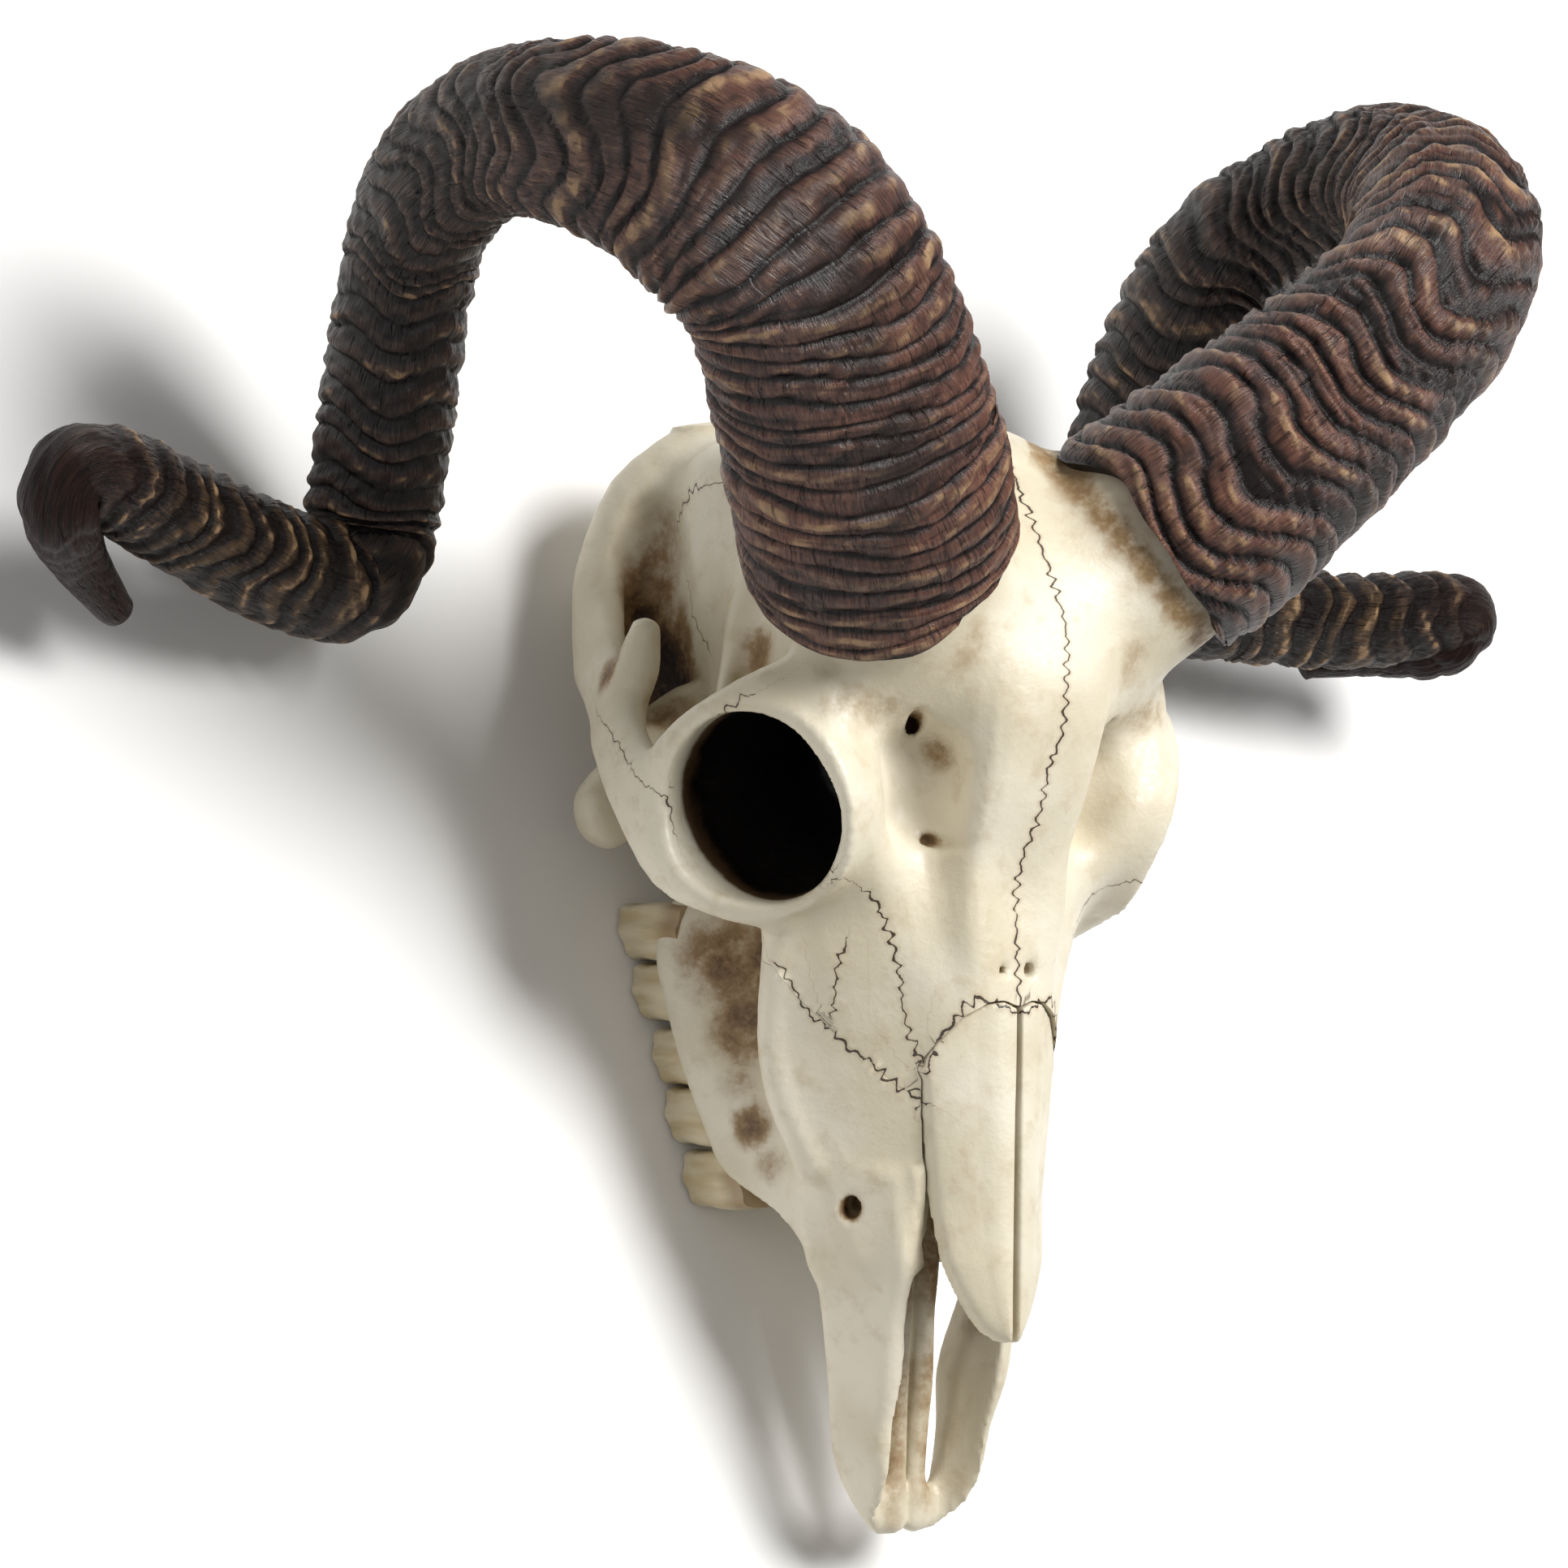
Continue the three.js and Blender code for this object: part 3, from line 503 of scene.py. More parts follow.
def piece(name, points, faces, nodes, slot, **attributes):
    """A shown piece from points in the row frame: a smooth mesh with point attributes, riding
    on the root body and standing for its CAD nodes."""
    mesh = bpy.data.meshes.new(name)
    mesh.from_pydata(points.tolist(), [], faces)
    mesh.shade_smooth()
    if slot == "bone":
        mesh.set_sharp_from_angle(angle=math.radians(60))
    for key, values in attributes.items():
        kind = "FLOAT_VECTOR" if np.ndim(values) == 2 else "FLOAT"
        made = mesh.attributes.new(key, kind, "POINT")
        flat = np.asarray(values, np.float32).ravel()
        made.data.foreach_set("vector" if np.ndim(values) == 2 else "value", flat)
    made = bpy.data.objects.new(name, mesh)
    bpy.context.scene.collection.objects.link(made)
    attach(made, "root")
    if nodes:
        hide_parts(*nodes)
    return made


def suture_reach(points, normals):
    """Signed distance across the nearest suture and the length along it, in millimetres."""
    folds = np.where(points[:, :1] < 0, [[-1, 1, 1]], [[1, 1, 1]])
    across, along = np.full(len(points), 99.0), np.zeros(len(points))
    start = 0.0
    for run in [*SUTURES, MIDLINE]:
        curve = spline(run, 3)
        turn = 1 if run is MIDLINE else folds
        folded, faced = points * turn, normals * turn
        for a, b in zip(curve, curve[1:]):
            way = b - a
            length = np.linalg.norm(way)
            share = np.clip((folded - a) @ way / length**2, 0, 1)
            off = folded - a - share[:, None] * way
            distance = np.linalg.norm(off, axis=1)
            side = np.sign(np.einsum("ij,ij->i", np.cross(way, off), faced))
            closer = distance < np.abs(across)
            across = np.where(closer, distance * side, across)
            along = np.where(closer, start + share * length, along)
            start += length
        start += 20
    return across, along


half_grid = grid((0, -39, -138), (71, 223, 24), VOXEL)
bare_half, slot_half = whole_skull(half_grid)
x_side = half_grid[0].ravel()
full_grid = [np.concatenate([-x_side[:0:-1], x_side])[:, None, None], *half_grid[1:]]
bare_field, slot_field = (np.concatenate([half[:0:-1], half]) for half in (
    bare_half, np.broadcast_to(slot_half, bare_half.shape)))
corner = np.array([a.ravel()[0] for a in full_grid])

# Faint unevenness of the bone: waves of about a tenth of a millimetre, 20 to 63 mm long.
WAVE_COUNT, WAVE_HEIGHT = 10, 0.11
rng = np.random.default_rng(7)
unevenness = 0
for _ in range(WAVE_COUNT):
    wave = rng.normal(size=3)
    wave *= rng.uniform(0.10, 0.32) / np.linalg.norm(wave)
    phase = sum(a * w for a, w in zip(full_grid, wave)) + rng.uniform(0, 6.3)
    unevenness = unevenness + WAVE_HEIGHT * np.sin(phase)
bare_field = (bare_field + unevenness).astype(np.float32)
skull_field = np.maximum(bare_field, -slot_field)

x, y, z = full_grid
ground = (y * math.sin(REST_TILT) + z * math.cos(REST_TILT) - TEETH_FLOOR).astype(np.float32)
py, pz = (a.squeeze(0) for a in np.broadcast_arrays(y, z))
jaw_side = outline_field(py, pz, JAW_OUTLINE)[None].astype(np.float32)
jaw_side = jaw_side + np.zeros_like(skull_field)
# How much solid lies round each point, at a small and a large reach: high in hollows, where the
# bone finish paints shade.
solid_share = np.clip(0.5 - skull_field / VOXEL, 0, 1)
crowding_small = blurred(solid_share, max(int(4 / VOXEL), 1))
crowding_large = blurred(solid_share, max(int(11 / VOXEL), 1))


def bone_piece(name, side_field, nodes):
    """Skins the part of the skull on one side of the cheek suture, with a sharp edge there."""
    field = np.maximum(np.maximum(skull_field, side_field), -ground)
    cells, faces = skin(field)
    cells = onto(cells, [skull_field, side_field], VOXEL)
    cells = onto(cells, [bare_field, slot_field], VOXEL)
    points = cells * VOXEL + corner
    slope = np.stack([sampled(s, cells) for s in np.gradient(skull_field)], 1)
    slope /= np.linalg.norm(slope, axis=1)[:, None] + 1e-9
    across, along = suture_reach(points, slope)
    folded = np.abs(points) * [1, 0, 0] + points * [0, 1, 1]
    # How deep each point lies in its eye socket, for the painted shade there.
    depth = (ORBIT_CENTRE - folded) @ ORBIT_FACING
    inside = orbit_cone(folded.T, *SOCKET) < 1.2
    deep = np.where(inside, np.clip(depth / 26, 0, 1), 0)
    return piece(name, to_row(points), faces.tolist(), nodes, "bone",
                 crowding=sampled(crowding_small, cells),
                 shelter=sampled(crowding_large, cells),
                 socket_depth=deep, suture_across=across, suture_along=along,
                 suture_near=np.abs(across),
                 stain=stain_at(points), place=points)


cranium = bone_piece("cranium", 0.05 - jaw_side, ["cranium"])
upper_jaw = bone_piece("upper_jaw", jaw_side + 0.05,
                       ["upper_jaw", "premaxilla_left", "premaxilla_right"])


def add(tree, kind, out, inputs, **settings):
    """Adds a shader node and gives back one of its outputs. An input may be a number, a colour
    or another node's output."""
    made = tree.nodes.new("ShaderNode" + kind)
    for name, value in settings.items():
        setattr(made, name, value)
    for socket, value in inputs.items():
        if isinstance(value, bpy.types.NodeSocket):
            tree.links.new(value, made.inputs[socket])
        else:
            made.inputs[socket].default_value = value
    return made.outputs[out]


def colour(code):
    """sRGB hex to the linear colour that a shader takes."""
    parts = [int(code[i:i + 2], 16) / 255 for i in (1, 3, 5)]
    return [c / 12.92 if c < 0.04045 else ((c + 0.055) / 1.055)**2.4 for c in parts] + [1]


def mixed(tree, share, low, high, blend="MIX"):
    """Low where share is 0 and high where it is 1; each may be a hex colour or an output."""
    low, high = (colour(c) if isinstance(c, str) else c for c in (low, high))
    return add(tree, "Mix", 2, {0: share, 6: low, 7: high}, data_type="RGBA",
               blend_type=blend)


def ramp(tree, value, low, high, out_low=0.0, out_high=1.0):
    """A smooth step of value from low to high."""
    return add(tree, "MapRange", 0, {0: value, 1: low, 2: high, 3: out_low, 4: out_high},
               interpolation_type="SMOOTHSTEP")


def calc(tree, operation, a, b=0.0):
    """One arithmetic step on two numbers or outputs; one that takes only a ignores b."""
    return add(tree, "Math", 0, {0: a, 1: b}, operation=operation)


def noise(tree, vector, size, detail=3.0, rough=0.5, out=0):
    """Noise whose lumps are about size millimetres across, for a vector in millimetres."""
    return add(tree, "TexNoise", out, {"Vector": vector, "Scale": 1 / size,
                                       "Detail": detail, "Roughness": rough})


def attribute(tree, name, out=2):
    """A point attribute of the piece, read as a number, or as a vector where out is 1."""
    return add(tree, "Attribute", out, {}, attribute_name=name)


def material(name):
    """An empty material and its shader."""
    made = bpy.data.materials.new(name)
    made.use_nodes = True
    return made, made.node_tree, made.node_tree.nodes["Principled BSDF"]


# Waxed dry bone: ivory with a satin sheen, tea-brown in hollows, partly old dirt and partly
# painted shade, painted shade near black deep in the eye sockets, and hair-thin dark sutures
# that wander, drawn only near their runs.
SUTURE_REACH = 2.8
bone_finish, tree, shader = material("waxed_dry_bone")
place = attribute(tree, "place", 1)
broad_tone = noise(tree, place, 34, 3)
mottle = noise(tree, place, 7, 5, 0.62)
grain = noise(tree, place, 1.6, 4, 0.6)
base = mixed(tree, ramp(tree, broad_tone, 0.38, 0.62), "#cfc5ac", "#dcd4c0")
base = mixed(tree, calc(tree, "MULTIPLY", ramp(tree, mottle, 0.5, 0.72), 0.4), base, "#b8a684")
# Hollows found from crowding and shelter are painted darker as painted shade; the patches add old
# dirt and more painted shade.
crowded = ramp(tree, attribute(tree, "crowding"), 0.54, 0.74)
sheltered = ramp(tree, attribute(tree, "shelter"), 0.56, 0.78)
dirt_and_painted_shade = calc(tree, "ADD", calc(tree, "MULTIPLY", crowded, 0.4),
            calc(tree, "MULTIPLY", sheltered, 0.6))
dirt_and_painted_shade = calc(tree, "ADD", dirt_and_painted_shade, calc(tree, "MULTIPLY", attribute(tree, "stain"), 0.95))
dirt_and_painted_shade = calc(tree, "MULTIPLY", dirt_and_painted_shade, ramp(tree, mottle, 0.34, 0.62, 0.66, 1.15))
dirt_and_painted_shade = calc(tree, "MULTIPLY", dirt_and_painted_shade, ramp(tree, grain, 0.36, 0.6, 0.9, 1.06))
base = mixed(tree, ramp(tree, dirt_and_painted_shade, 0.08, 0.6), base, "#927752")
base = mixed(tree, ramp(tree, dirt_and_painted_shade, 0.45, 1.0), base, "#523a25")
base = mixed(tree, ramp(tree, dirt_and_painted_shade, 1.0, 1.5), base, "#21150d")
# Painted shade in the eye sockets: brown just inside the rim, near black deeper in.
depth = attribute(tree, "socket_depth")
depth = calc(tree, "MULTIPLY", depth, ramp(tree, mottle, 0.3, 0.7, 0.7, 1.3))
base = mixed(tree, ramp(tree, depth, 0.0, 0.07), base, "#5d452c")
base = mixed(tree, ramp(tree, depth, 0.07, 0.28), base, "#0d0806")
along = add(tree, "CombineXYZ", 0, {0: attribute(tree, "suture_along")})
bends = calc(tree, "ADD", calc(tree, "MULTIPLY", attribute(tree, "suture_along"), 1.75),
             calc(tree, "MULTIPLY", noise(tree, along, 5, 2), 9.0))
swing = ramp(tree, noise(tree, along, 9, 2), 0.35, 0.65, 0.25, 1.1)
wander = calc(tree, "MULTIPLY", calc(tree, "SINE", bends), swing)
jag = calc(tree, "SUBTRACT", noise(tree, along, 1.3, 3), 0.5)
wander = calc(tree, "ADD", wander, calc(tree, "MULTIPLY", jag, 1.4))
away = calc(tree, "ABSOLUTE", calc(tree, "ADD", attribute(tree, "suture_across"), wander))
thick = ramp(tree, noise(tree, place, 9, 2), 0.35, 0.65, 0.22, 0.4)
near = calc(tree, "LESS_THAN", attribute(tree, "suture_near"), SUTURE_REACH)
line = calc(tree, "MULTIPLY", calc(tree, "LESS_THAN", away, thick), near)
halo = ramp(tree, away, 1.6, 0.2, 0.0, 0.3)
base = mixed(tree, halo, base, "#9a7c55")
base = mixed(tree, calc(tree, "MULTIPLY", line, 0.93), base, "#2a1b12")
tree.links.new(base, shader.inputs["Base Color"])
sheen = ramp(tree, grain, 0.3, 0.7, 0.36, 0.52)
tree.links.new(calc(tree, "ADD", sheen, calc(tree, "MULTIPLY", dirt_and_painted_shade, 0.2)),
               shader.inputs["Roughness"])
height = calc(tree, "ADD", calc(tree, "MULTIPLY", mottle, 0.5),
              calc(tree, "MULTIPLY", grain, 0.16))
height = calc(tree, "SUBTRACT", height, calc(tree, "MULTIPLY", line, 0.35))
bump = add(tree, "Bump", 0, {"Height": height, "Distance": 0.001, "Strength": 0.55})
tree.links.new(bump, shader.inputs["Normal"])
for bone in (cranium, upper_jaw):
    bone.data.materials.append(bone_finish)

# ---- nasal bones ---------------------------------------------------------------------------
# Two long curved plates that roof the nose, loose enough in an old skull to show a dark gap
# all round. Each is the plate between two arched surfaces, trimmed to its outline.
NASAL_THICK = 4.5
FINE_VOXEL = 0.62


def plate_skin(at, field):
    """Skins a field on its own small grid and gives the points back in millimetres."""
    cells, faces = skin(field.astype(np.float32))
    return cells * FINE_VOXEL + [a.ravel()[0] for a in at], faces


def bone_details(points):
    """The bone finish's attributes for a small bone with no hollows of its own."""
    count = len(points)
    across, along = suture_reach(points, np.broadcast_to([0, 0, 1.0], points.shape))
    return {"place": points, "crowding": np.full(count, 0.5), "shelter": np.full(count, 0.5),
            "socket_depth": np.zeros(count),
            "stain": stain_at(points), "suture_across": across, "suture_along": along,
            "suture_near": np.abs(across)}


def both_sides(name, points, faces, details):
    """The left piece and its mirrored twin on the right."""
    for side, ending in ((1, "left"), (-1, "right")):
        placed = points * [side, 1, 1]
        turned = faces[:, ::side].tolist()
        node = f"{name}_{ending}"
        made = piece(node, to_row(placed), turned, [node], "bone", **{**details, "place": placed})
        made.data.materials.append(bone_finish)


at = grid((-1.5, 5, -22), (21.5, 87, 1), FINE_VOXEL)
x, y, z = at
share = np.clip(x / np.maximum(nasal_half(np.minimum(y, 70)) + 1, 2), 0, 1)
drop = 4.5 + 6.3 * np.minimum((y - 8) / 32, 1)
top = -1.6 + 0.5 * np.sin(np.pi * np.minimum(share * 2, 1)) - drop * share**1.95
px, py = (a.squeeze(2) for a in np.broadcast_arrays(x, y))
outline = outline_field(px, py, nasal_outline(-0.15))[:, :, None] + 0.0 * z
edge_soft = np.interp(y, [20, 60, 74], [1.2, 0.9, 0.2])
shell = cut(cut(z - top, z - (top - NASAL_THICK), 1.0), -outline, edge_soft)
points, faces = plate_skin(at, shell)
both_sides("nasal", points, faces, bone_details(points))

# ---- cheek teeth ---------------------------------------------------------------------------
# Five worn grinding teeth a side, tall and ribbed on the cheek side, browner than the bone with
# dark lines where they touch. Each is a lobed column that runs from the gum to the ground.
TOOTH_COUNT, TOOTH_FIRST, TOOTH_PITCH, TOOTH_LONG, TOOTH_WIDE = 5, 42, 14.1, 13.6, 12.5
TOOTH_SIDES, TOOTH_RINGS = 72, 26
TOOTH_SQUARE, TOOTH_RIB = 3.2, 0.09


def tooth(number):
    """A column over a rounded oblong, the superellipse of power TOOTH_SQUARE, whose long sides
    swell in three ribs. It narrows a little at the gum, leans by an amount of its own, and its
    last rings close on the worn face. Gives its rings and each point's depth from gum to face."""
    y = TOOTH_FIRST + number * TOOTH_PITCH
    share = number / (TOOTH_COUNT - 1)
    lean = math.sin(number * 2.4)
    centre_x = 23.5 + 7 * share + 0.5 * lean
    root = -68 - 16 * share
    angle = np.linspace(0, 2 * np.pi, TOOTH_SIDES, endpoint=False)
    power = TOOTH_SQUARE
    box = (np.abs(np.cos(angle))**power + np.abs(np.sin(angle))**power)**(-1 / power)
    along, wide = box * np.sin(angle), box * np.cos(angle)
    rib = TOOTH_RIB * np.cos(along * 2 * np.pi) * np.abs(wide)
    outline = np.stack([(wide * (1 + rib)) * TOOTH_WIDE / 2, along * TOOTH_LONG / 2], 1)
    depth = np.linspace(0, 1, TOOTH_RINGS)
    size = 0.88 + 0.12 * np.sin(np.pi * np.clip(depth * 1.15, 0, 1))
    size[-5:] = [0.97, 0.93, 0.85, 0.72, 0.4]
    depth[-5:] = [0.91, 0.95, 0.98, 1, 1]
    size = np.insert(size, 0, 0.4)
    depth = np.insert(depth, 0, 0)
    ring_x = centre_x + size[:, None] * outline[:, 0] + 1.2 * (depth[:, None] - 0.5)
    ring_y = y + size[:, None] * outline[:, 1] + 0.7 * lean * (depth[:, None] - 0.3)
    top = root + 3
    floor_z = (TEETH_FLOOR - ring_y * math.sin(REST_TILT)) / math.cos(REST_TILT)
    ring_z = top + (floor_z - top) * depth[:, None]
    return np.stack([ring_x, ring_y, ring_z], -1), np.repeat(depth, TOOTH_SIDES)


def closed_tube(rings, flip):
    """Points and faces of a tube: quads between rings that close on themselves, and a fan of
    triangles to a pole in the middle of either end ring. Flip turns the faces over."""
    count, sides = rings.shape[:2]
    ring, side = np.meshgrid(np.arange(count - 1), np.arange(sides), indexing="ij")
    a = (ring * sides + side).ravel()
    b = (ring * sides + (side + 1) % sides).ravel()
    quads = np.stack([a, a + sides, b + sides, b], 1)
    i = np.arange(sides)
    j, pole, last = (i + 1) % sides, 0 * i + count * sides, (count - 1) * sides
    fans = np.vstack([np.stack([i, j, pole], 1), np.stack([last + j, last + i, pole + 1], 1)])
    turn = -1 if flip else 1
    points = np.vstack([rings.reshape(-1, 3), rings[0].mean(0), rings[-1].mean(0)])
    return points, quads[:, ::turn].tolist() + fans[:, ::turn].tolist()


for side, ending in ((1, "left"), (-1, "right")):
    for number in range(TOOTH_COUNT):
        rings, depth = tooth(number)
        points, faces = closed_tube(rings * [side, 1, 1], side < 0)
        piece(f"cheek_tooth_{ending}_{number + 1}", to_row(points), faces, [], "bone",
              place=points, crown=np.append(depth, [0, 1]))

# Worn enamel: cream and fairly glossy, streaked down the crown, brown at the gum and the edge of
# the worn face.
enamel, tree, shader = material("worn_stained_enamel")
place = attribute(tree, "place", 1)
crown = attribute(tree, "crown")
drawn_down = add(tree, "Mapping", 0, {"Vector": place, "Scale": (1, 1, 0.2)})
streak = noise(tree, drawn_down, 4, 3, 0.5)
base = mixed(tree, ramp(tree, streak, 0.35, 0.65), "#c2b08a", "#d9cdb0")
base = mixed(tree, ramp(tree, crown, 0.4, 0.1, 0, 0.7), base, "#8a6c48")
base = mixed(tree, ramp(tree, crown, 0.95, 1.0, 0, 0.5), base, "#6b5238")
tree.links.new(base, shader.inputs["Base Color"])
shader.inputs["Roughness"].default_value = 0.33
bump = add(tree, "Bump", 0, {"Height": streak, "Distance": 0.0006, "Strength": 0.25})
tree.links.new(bump, shader.inputs["Normal"])
for made in bpy.data.objects:
    if made.name.startswith("cheek_tooth"):
        made.data.materials.append(enamel)

# ---- horns ---------------------------------------------------------------------------------
# Keratin sheaths that curl back, down and out again, thick and keeled at the rim, ringed all the
# way with growth ribs. A section is carried along the growth line and pushed out by the ribs.
# The growth line's rows are x, y, z, half width and half thickness.
HORN_LINE = [
    [36.5, 185.5, -6.3, 29.8, 29.5], [54.5, 203.8, 8.5, 30.8, 28.3], [84.1, 235.1, 24.6, 28.4, 24],
    [100.6, 249.9, 23.7, 28.2, 23], [114, 262.5, 12.1, 24.3, 21.8],
    [123.1, 270.5, -5.4, 20.4, 18.6], [125.8, 273.7, -27.7, 18, 15],
    [125, 266.7, -51.2, 17.2, 14.6], [118.2, 251, -71.5, 16.6, 14.6],
    [110.5, 202.6, -94.3, 16.8, 15], [113.3, 183.4, -96.5, 15.2, 14.6],
    [126.7, 178.5, -95.8, 14.2, 13.8], [170.4, 182.6, -84.5, 13.2, 12.2],
    [191.3, 186.3, -76.9, 12.4, 11.4], [203.8, 186.8, -73.5, 10.3, 9.8],
    [202.8, 179.3, -78.6, 9.2, 8.8], [190.6, 174.4, -91.5, 6.8, 6.6], [175, 167, -99.8, 4, 4]]
HORN_BROAD_SIDE = np.array([0.8, -0.2, -0.5])
HORN_LENGTH = 444
HORN_RINGS, HORN_SIDES = ((960, 100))
RIM_ROOM = 6.0

# The two horns aren't twins, so 1 is the left horn's value and -1 the right's. Lobes: from and to
# along the horn, and how far it strays in y and z, one horn one way and one the other.
UNEVEN_LOBES = [[35, 115, 2.4, 1.5], [115, 325, -8.4, -1.1], [325, 432, 7.2, 0.5]]
# How much wider the left horn is round its far bend, where, and over what spread.
LEFT_SWELL = (0.17, 236, 28)
# The rim: its place along the horn, and lobes of height, middle and spread in degrees.
RIM_SHAPE = {-1: (-0.8, [(-4.5, 285, 35)]), 1: (3.8, [(2.4, 180, 30), (-5.5, 134, 20)])}
# Waves of the ribs: their height, where they begin, and the angle of a wave's middle.
WAVES = {-1: (4.8, 95, 280), 1: (4.0, -30, 215)}
# Ribs at stations along the horn: where the crest lies between two furrows, how deep they are,
# how flat their backs are, and their spacing.
RIB_CREST = 0.68
RIB_DEPTH = {-1: [2.1, 2.1, 2.0, 1.6, 1.5, 1.2], 1: [2.2, 2.6, 2.6, 2.0, 1.7, 1.3]}
RIB_FLATNESS = {-1: [2.4, 1.7, 1.2, 0.6], 1: [1.3, 1.2, 1.1, 0.6]}
RIB_PITCH = {-1: [4.6, 5.2, 6.2, 7.4, 8, 6], 1: [6.2, 6.6, 6.8, 7.4, 8, 6]}


def ripple(rng, along, around, length, turns, count=9):
    """A wandering surface of waves, from -1 to 1 or so: lengths along the horn of about length
    in millimetres, and at most so many whole turns around it, so that it closes."""
    total = 0
    for _ in range(count):
        k = 2 * np.pi / (length * rng.uniform(0.7, 1.6))
        m = rng.integers(-turns, turns + 1)
        total = total + rng.normal() * np.sin(k * along + m * around + rng.uniform(0, 6.3))
    return total / math.sqrt(count)


def swell(angle, middle, spread):
    """1 at the middle angle and falling off over the spread, both in degrees, all round."""
    off = (angle - math.radians(middle) + np.pi) % (2 * np.pi) - np.pi
    return np.exp(-(off / math.radians(spread))**2)


def horn(side, rng):
    """One horn: the section's ellipse gains a keel and a groove beside it, and rounded growth
    ribs that run round it, each bent into four waves, with sharp furrows in between. Gives its
    rings, the ribs' height, a place for fibres to follow, the share along it, and the keel."""
    dense = spline(HORN_LINE, 80)
    back = dense[0] - dense[1]
    dense = np.vstack([dense[0] + back * RIM_ROOM / np.linalg.norm(back[:3]), dense])
    steps = np.linalg.norm(np.diff(dense[:, :3], axis=0), axis=1)
    length = np.concatenate([[0], np.cumsum(steps)]) - RIM_ROOM
    s = np.linspace(-RIM_ROOM, length[-1], HORN_RINGS)
    line = np.stack([np.interp(s, length, dense[:, k]) for k in range(5)], 1)
    for start, end, dy, dz in UNEVEN_LOBES:
        bend = np.where((s > start) & (s < end), np.sin(np.pi * (s - start) / (end - start)), 0)
        line[:, 1] -= side * dy * bend
        line[:, 2] -= side * dz * bend
    along = np.gradient(line[:, :3], axis=0)
    along /= np.linalg.norm(along, axis=1)[:, None]
    broad = np.empty_like(along)
    held = HORN_BROAD_SIDE
    for i, way in enumerate(along):
        held = held - way * (held @ way)
        held = held / np.linalg.norm(held)
        broad[i] = held
    narrow = np.cross(along, broad)
    if side > 0:
        extra, bend_at, spread = LEFT_SWELL
        line[:, 3:] *= 1 + extra * np.exp(-((s[:, None] - bend_at) / spread)**2)
    theta = np.linspace(0, 2 * np.pi, HORN_SIDES, endpoint=False)[None]
    rim_place, rim_lobes = RIM_SHAPE[side]
    rim = 0.5 * np.sin(9 * theta) + 0.4 * np.sin(5 * theta) + rim_place
    for tall, middle, spread in rim_lobes:
        rim = rim + tall * swell(theta, middle, spread)
    share = np.linspace(0, 1, HORN_RINGS)[:, None]
    s2 = s[:, None] + 0 * theta
    s2 = np.maximum(s2, rim + 1e-3 * share)
    keel_at = np.interp(s2, [0, 50, 100, 160], [270, 260, 245, 250])
    keel = np.exp(-((((theta - np.radians(keel_at)) + np.pi) % (2 * np.pi) - np.pi) / 0.34)**2)
    keel = keel * np.interp(s2, [0, 50, 150, 240, 300], [0.5, 1, 1, 0.6, 0.2])
    furrow = swell(theta, 172, 11) * np.interp(s2, [0, 30, 150, 300], [0.3, 1, 1, 0.3])
    waves, first, middle = WAVES[side]
    ramp_in = np.interp(s2, [first, first + 35, 140, 190, 230, 420], [0, 0.8, 1.1, 0.9, 0.35, 0.3])
    lean = -waves * ramp_in * np.cos(4 * (theta - math.radians(middle)))
    lean = lean + 4.5 * np.cos(theta - math.radians(340)) * np.interp(s2, [95, 130], [1, 0])
    lean = lean + 1.3 * ripple(rng, s2, theta, 60, 3) + 0.5 * ripple(rng, s2, theta, 14, 7)
    pitch = np.interp(s, [0, 50, 120, 260, 380, HORN_LENGTH], RIB_PITCH[side])
    count = np.concatenate([[0], np.cumsum(np.diff(s) / pitch[:-1])])
    wander = np.interp(s, np.arange(-20, 470, 9), rng.uniform(-0.32, 0.32, 55))
    place = s2 - lean
    phase = np.interp(place, s, count + wander)
    whole = np.floor(phase)
    part = phase - whole
    strength = rng.uniform(0.5, 1.0, 200)[whole.astype(int) + 20]
    split = rng.uniform(0.25, 0.8, 200)[whole.astype(int) + 20]
    flat = np.interp(s2, [0, 70, 160, 300], RIB_FLATNESS[side])
    rise = np.sin(np.pi / 2 * np.clip(part / RIB_CREST, 0, 1))**(0.7 / flat)
    fall = np.cos(np.pi / 2 * np.clip((part - RIB_CREST) / (1 - RIB_CREST), 0, 1))
    rib = rise * np.maximum(fall, 0)**(0.6 / flat)
    patch = 0.5 + 0.5 * ripple(rng, s2, theta, 16, 3)
    rib = rib * (strength + (1 - strength) * np.clip(patch, 0, 1))
    rib = rib - 0.30 * np.exp(-((part - split) / 0.07)**2) * np.clip(1 - patch, 0, 1) * rib
    height = np.clip(rib + 0.10 * ripple(rng, s2, theta, 5, 16), 0, 1.1)
    fade = np.interp(s2, [-6, 4, 380, 405, 428], [0.5, 1, 1, 0.6, 0])
    depth = np.interp(s2, [0, 60, 130, 200, 300, 400], RIB_DEPTH[side]) * fade
    fibre = 0.12 * ripple(rng, s2, theta, 60, 44, 24)
    bulge = 3.0 * swell(theta, 325, 55) * np.interp(s2, [5, 40], [1, 0]) * (1 if side < 0 else 0.5)
    radius = 1 + 0.022 * keel - 0.085 * furrow
    wide, thin = line[:, 3:4] * radius + bulge, line[:, 4:5] * radius + bulge
    shift = depth * (height - 0.9) + fibre * fade
    out = (np.cos(theta)[..., None] * (broad[:, None] * wide[..., None])
           + np.sin(theta)[..., None] * (narrow[:, None] * thin[..., None]))
    unit = out / np.linalg.norm(out, axis=2)[..., None]
    slide = (s2 - s[:, None])[..., None] * along[:, None]
    rings = line[:, None, :3] + slide + out + unit * shift[..., None]
    rings[..., 0] *= side
    reach = np.stack(np.broadcast_arrays(
        np.cos(theta) * line[:, 3:4], np.sin(theta) * line[:, 4:5], s2), -1)
    return rings, height, reach, s2 / s[-1], keel


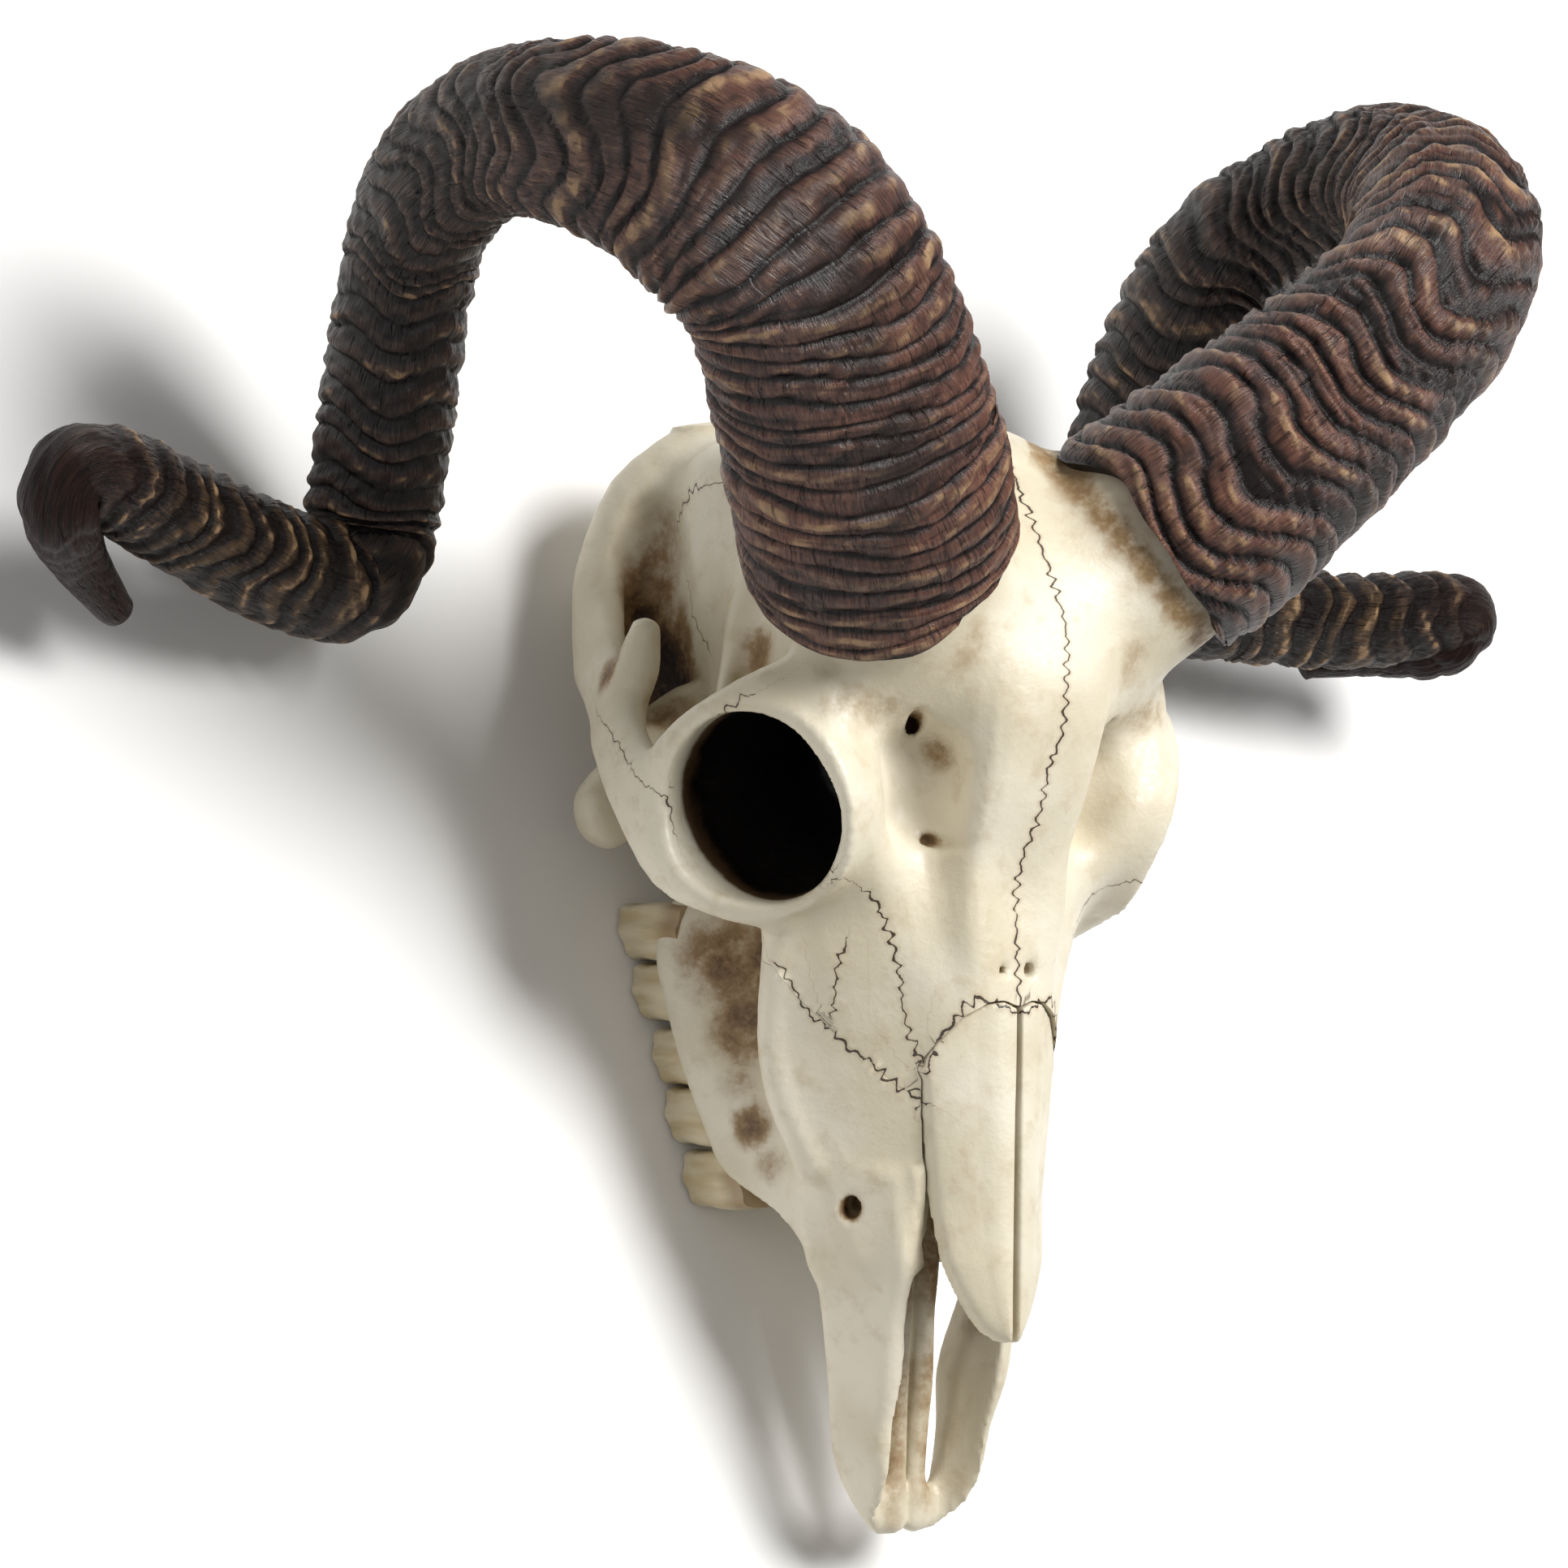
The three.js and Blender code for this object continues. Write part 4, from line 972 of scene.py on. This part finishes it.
def horn_piece(name, side, seed):
    """The shown piece of one horn, closed at both ends, with its finish's attributes."""
    rng = np.random.default_rng(seed)
    rings, height, reach, share, keel = horn(side, rng)
    points, faces = closed_tube(rings, side > 0)
    reach = np.vstack([reach.reshape(-1, 3), [[0, 0, 0], [0, 0, HORN_LENGTH]]])

    def with_poles(values, first, last):
        """The values of all rings, then those of the poles at the rim and at the tip."""
        return np.append(values, [first, last])

    return piece(name, to_row(points), faces, [name], "horn",
                 rib_height=with_poles(height, 0.2, 0.9), along_share=with_poles(share, 0, 1),
                 keel=with_poles(keel, 0, 0), fibre_place=reach)


horns = [horn_piece("horn_left", 1, 21), horn_piece("horn_right", -1, 22)]

# Old horn: satin keratin, red-brown at the rim, dark brown round the curl and olive-brown beyond,
# tan on the crests of the ribs, partly worn colour and partly painted highlight, painted shade near
# black in the furrows, black at the tip, with fibres and cracks that run the length of the horn.
keratin, tree, shader = material("ribbed_horn_keratin")
rib = attribute(tree, "rib_height")
share = attribute(tree, "along_share")
fibre_place = attribute(tree, "fibre_place", 1)
stretched = add(tree, "Mapping", 0, {"Vector": fibre_place, "Scale": (1, 1, 0.14)})
fibre = noise(tree, stretched, 0.62, 4, 0.7)
blotch = noise(tree, fibre_place, 22, 4, 0.6)
fleck = noise(tree, fibre_place, 5, 4, 0.6)
less_stretched = add(tree, "Mapping", 0, {"Vector": fibre_place, "Scale": (1, 1, 0.22)})
crack = noise(tree, less_stretched, 1.5, 3, 0.5)
rim_brown = mixed(tree, ramp(tree, blotch, 0.35, 0.65), "#6b463a", "#4b312c")
curl_brown = mixed(tree, ramp(tree, blotch, 0.35, 0.65), "#2b1e1b", "#412e28")
end_brown = mixed(tree, ramp(tree, blotch, 0.42, 0.58), "#40301f", "#251b17")
base = mixed(tree, ramp(tree, share, 0.18, 0.42), rim_brown, curl_brown)
base = mixed(tree, ramp(tree, share, 0.62, 0.74), base, end_brown)
pale = calc(tree, "MULTIPLY", ramp(tree, fibre, 0.47, 0.68),
            ramp(tree, share, 0.3, 0.6, 0.5, 0.22))
base = mixed(tree, pale, base, "#8a6850")
base = mixed(tree, ramp(tree, fibre, 0.47, 0.34, 0, 0.75), base, "#1d120d")
# Tan on the rib crests: partly the horn's own worn colour, partly painted highlight.
crest = calc(tree, "MULTIPLY", ramp(tree, rib, 0.84, 1.02),
             ramp(tree, fleck, 0.4, 0.62, 0.05, 0.8))
base = mixed(tree, crest, base, "#b08f6a")
# Near black where the ribs are low: painted shade in the furrows.
ragged = calc(tree, "ADD", rib, calc(tree, "MULTIPLY", calc(tree, "SUBTRACT", fleck, 0.5), 0.6))
base = mixed(tree, ramp(tree, ragged, 0.84, 0.42, 0, 0.98), base, "#110a09")
base = mixed(tree, ramp(tree, crack, 0.4, 0.33, 0, 0.5), base, "#150d0a")
smear = calc(tree, "MULTIPLY", attribute(tree, "keel"),
             ramp(tree, blotch, 0.38, 0.58, 0.25, 0.9))
base = mixed(tree, smear, base, "#1c110d")
tip_black = mixed(tree, ramp(tree, fibre, 0.35, 0.65), "#120b0a", "#2c1b18")
base = mixed(tree, ramp(tree, share, 0.85, 0.9), base, tip_black)
tree.links.new(base, shader.inputs["Base Color"])
tree.links.new(ramp(tree, fibre, 0.3, 0.7, 0.46, 0.28), shader.inputs["Roughness"])
tree.links.new(ramp(tree, share, 0.55, 0.9, 0.45, 0.16), shader.inputs["Specular IOR Level"])
height = calc(tree, "ADD", calc(tree, "MULTIPLY", fibre, 1.3), ramp(tree, crack, 0.3, 0.44))
bump = add(tree, "Bump", 0, {"Height": height, "Distance": 0.0008, "Strength": 0.8})
tree.links.new(bump, shader.inputs["Normal"])
for made in horns:
    made.data.materials.append(keratin)

# ---- floor, light and camera ---------------------------------------------------------------
# A matt white table under a soft key light from above, in front and the right, with a weak fill
# from the left and an even white surround. The camera looks down the face from its right side.
FLOOR_SIZE = 30.0
floor_mesh = bpy.data.meshes.new("floor")
edge = FLOOR_SIZE / 2
floor_mesh.from_pydata([(-edge, -edge, 0), (edge, -edge, 0), (edge, edge, 0), (-edge, edge, 0)],
                       [], [(0, 1, 2, 3)])
floor = bpy.data.objects.new("floor", floor_mesh)
bpy.context.scene.collection.objects.link(floor)
table, tree, shader = material("pale_matt_table")
shader.inputs["Base Color"].default_value = colour("#f4f3f1")
shader.inputs["Roughness"].default_value = 0.9
floor_mesh.materials.append(table)

world = bpy.data.worlds.new("studio")
bpy.context.scene.world = world
world.use_nodes = True
world.node_tree.nodes["Background"].inputs["Color"].default_value = (1, 1, 1, 1)
world.node_tree.nodes["Background"].inputs["Strength"].default_value = 0.22
bpy.context.scene.view_settings.view_transform = "Standard"


def soft_light(name, place, target, size, power):
    """A square area light at place that faces target, in metres and watts."""
    lamp = bpy.data.lights.new(name, "AREA")
    lamp.size, lamp.energy = size, power
    made = bpy.data.objects.new(name, lamp)
    made.location = place
    aim = np.array(target) - np.array(place)
    made.rotation_euler = Vector(aim).to_track_quat("-Z", "Y").to_euler()
    bpy.context.scene.collection.objects.link(made)


CAMERA_YAW, CAMERA_PITCH, CAMERA_ROLL = (math.radians(a) for a in (38.296, -1.208, 0.702))
CAMERA_AIM, CAMERA_AWAY = np.array([0, 133.0, -87.0]), 1476.8
PIXELS_PER_MM, FRAME_PIXELS, SENSOR = 5.302, 1932, 36.0
back = np.array([-math.sin(CAMERA_YAW) * math.cos(CAMERA_PITCH), math.sin(CAMERA_PITCH),
                 math.cos(CAMERA_YAW) * math.cos(CAMERA_PITCH)])
right = np.array([math.cos(CAMERA_YAW), 0, math.sin(CAMERA_YAW)])
upward = np.cross(back, right)
right, upward = (math.cos(CAMERA_ROLL) * right + math.sin(CAMERA_ROLL) * upward,
                 math.cos(CAMERA_ROLL) * upward - math.sin(CAMERA_ROLL) * right)
stand = CAMERA_AIM + CAMERA_AWAY * back
axes = to_row(np.stack([right, upward, back]) * 1000) - FACE_ORIGIN
camera_data = bpy.data.cameras.new("camera")
camera_data.sensor_width = SENSOR
camera_data.lens = PIXELS_PER_MM * CAMERA_AWAY / FRAME_PIXELS * SENSOR
camera = bpy.data.objects.new("camera", camera_data)
matrix = np.eye(4)
matrix[:3, :3] = axes.T
matrix[:3, 3] = to_row(stand[None])[0]
bpy.context.scene.collection.objects.link(camera)
camera.matrix_world = Matrix(matrix.tolist())
bpy.context.scene.camera = camera

# Lights: way from the skull in the camera's frame, right, up and back; side in metres; watts.
LIGHTS = {"key": ((0.85, 0.5, 0.62), 0.7, 33), "fill": ((-0.7, 0.2, 0.9), 1.4, 4)}
LIGHT_AWAY = 1.5
middle = np.array([0, 0, 0.08])
for name, (turn, size, power) in LIGHTS.items():
    way = np.array(turn) @ axes
    soft_light(name, middle + way / np.linalg.norm(way) * LIGHT_AWAY, middle, size, power)
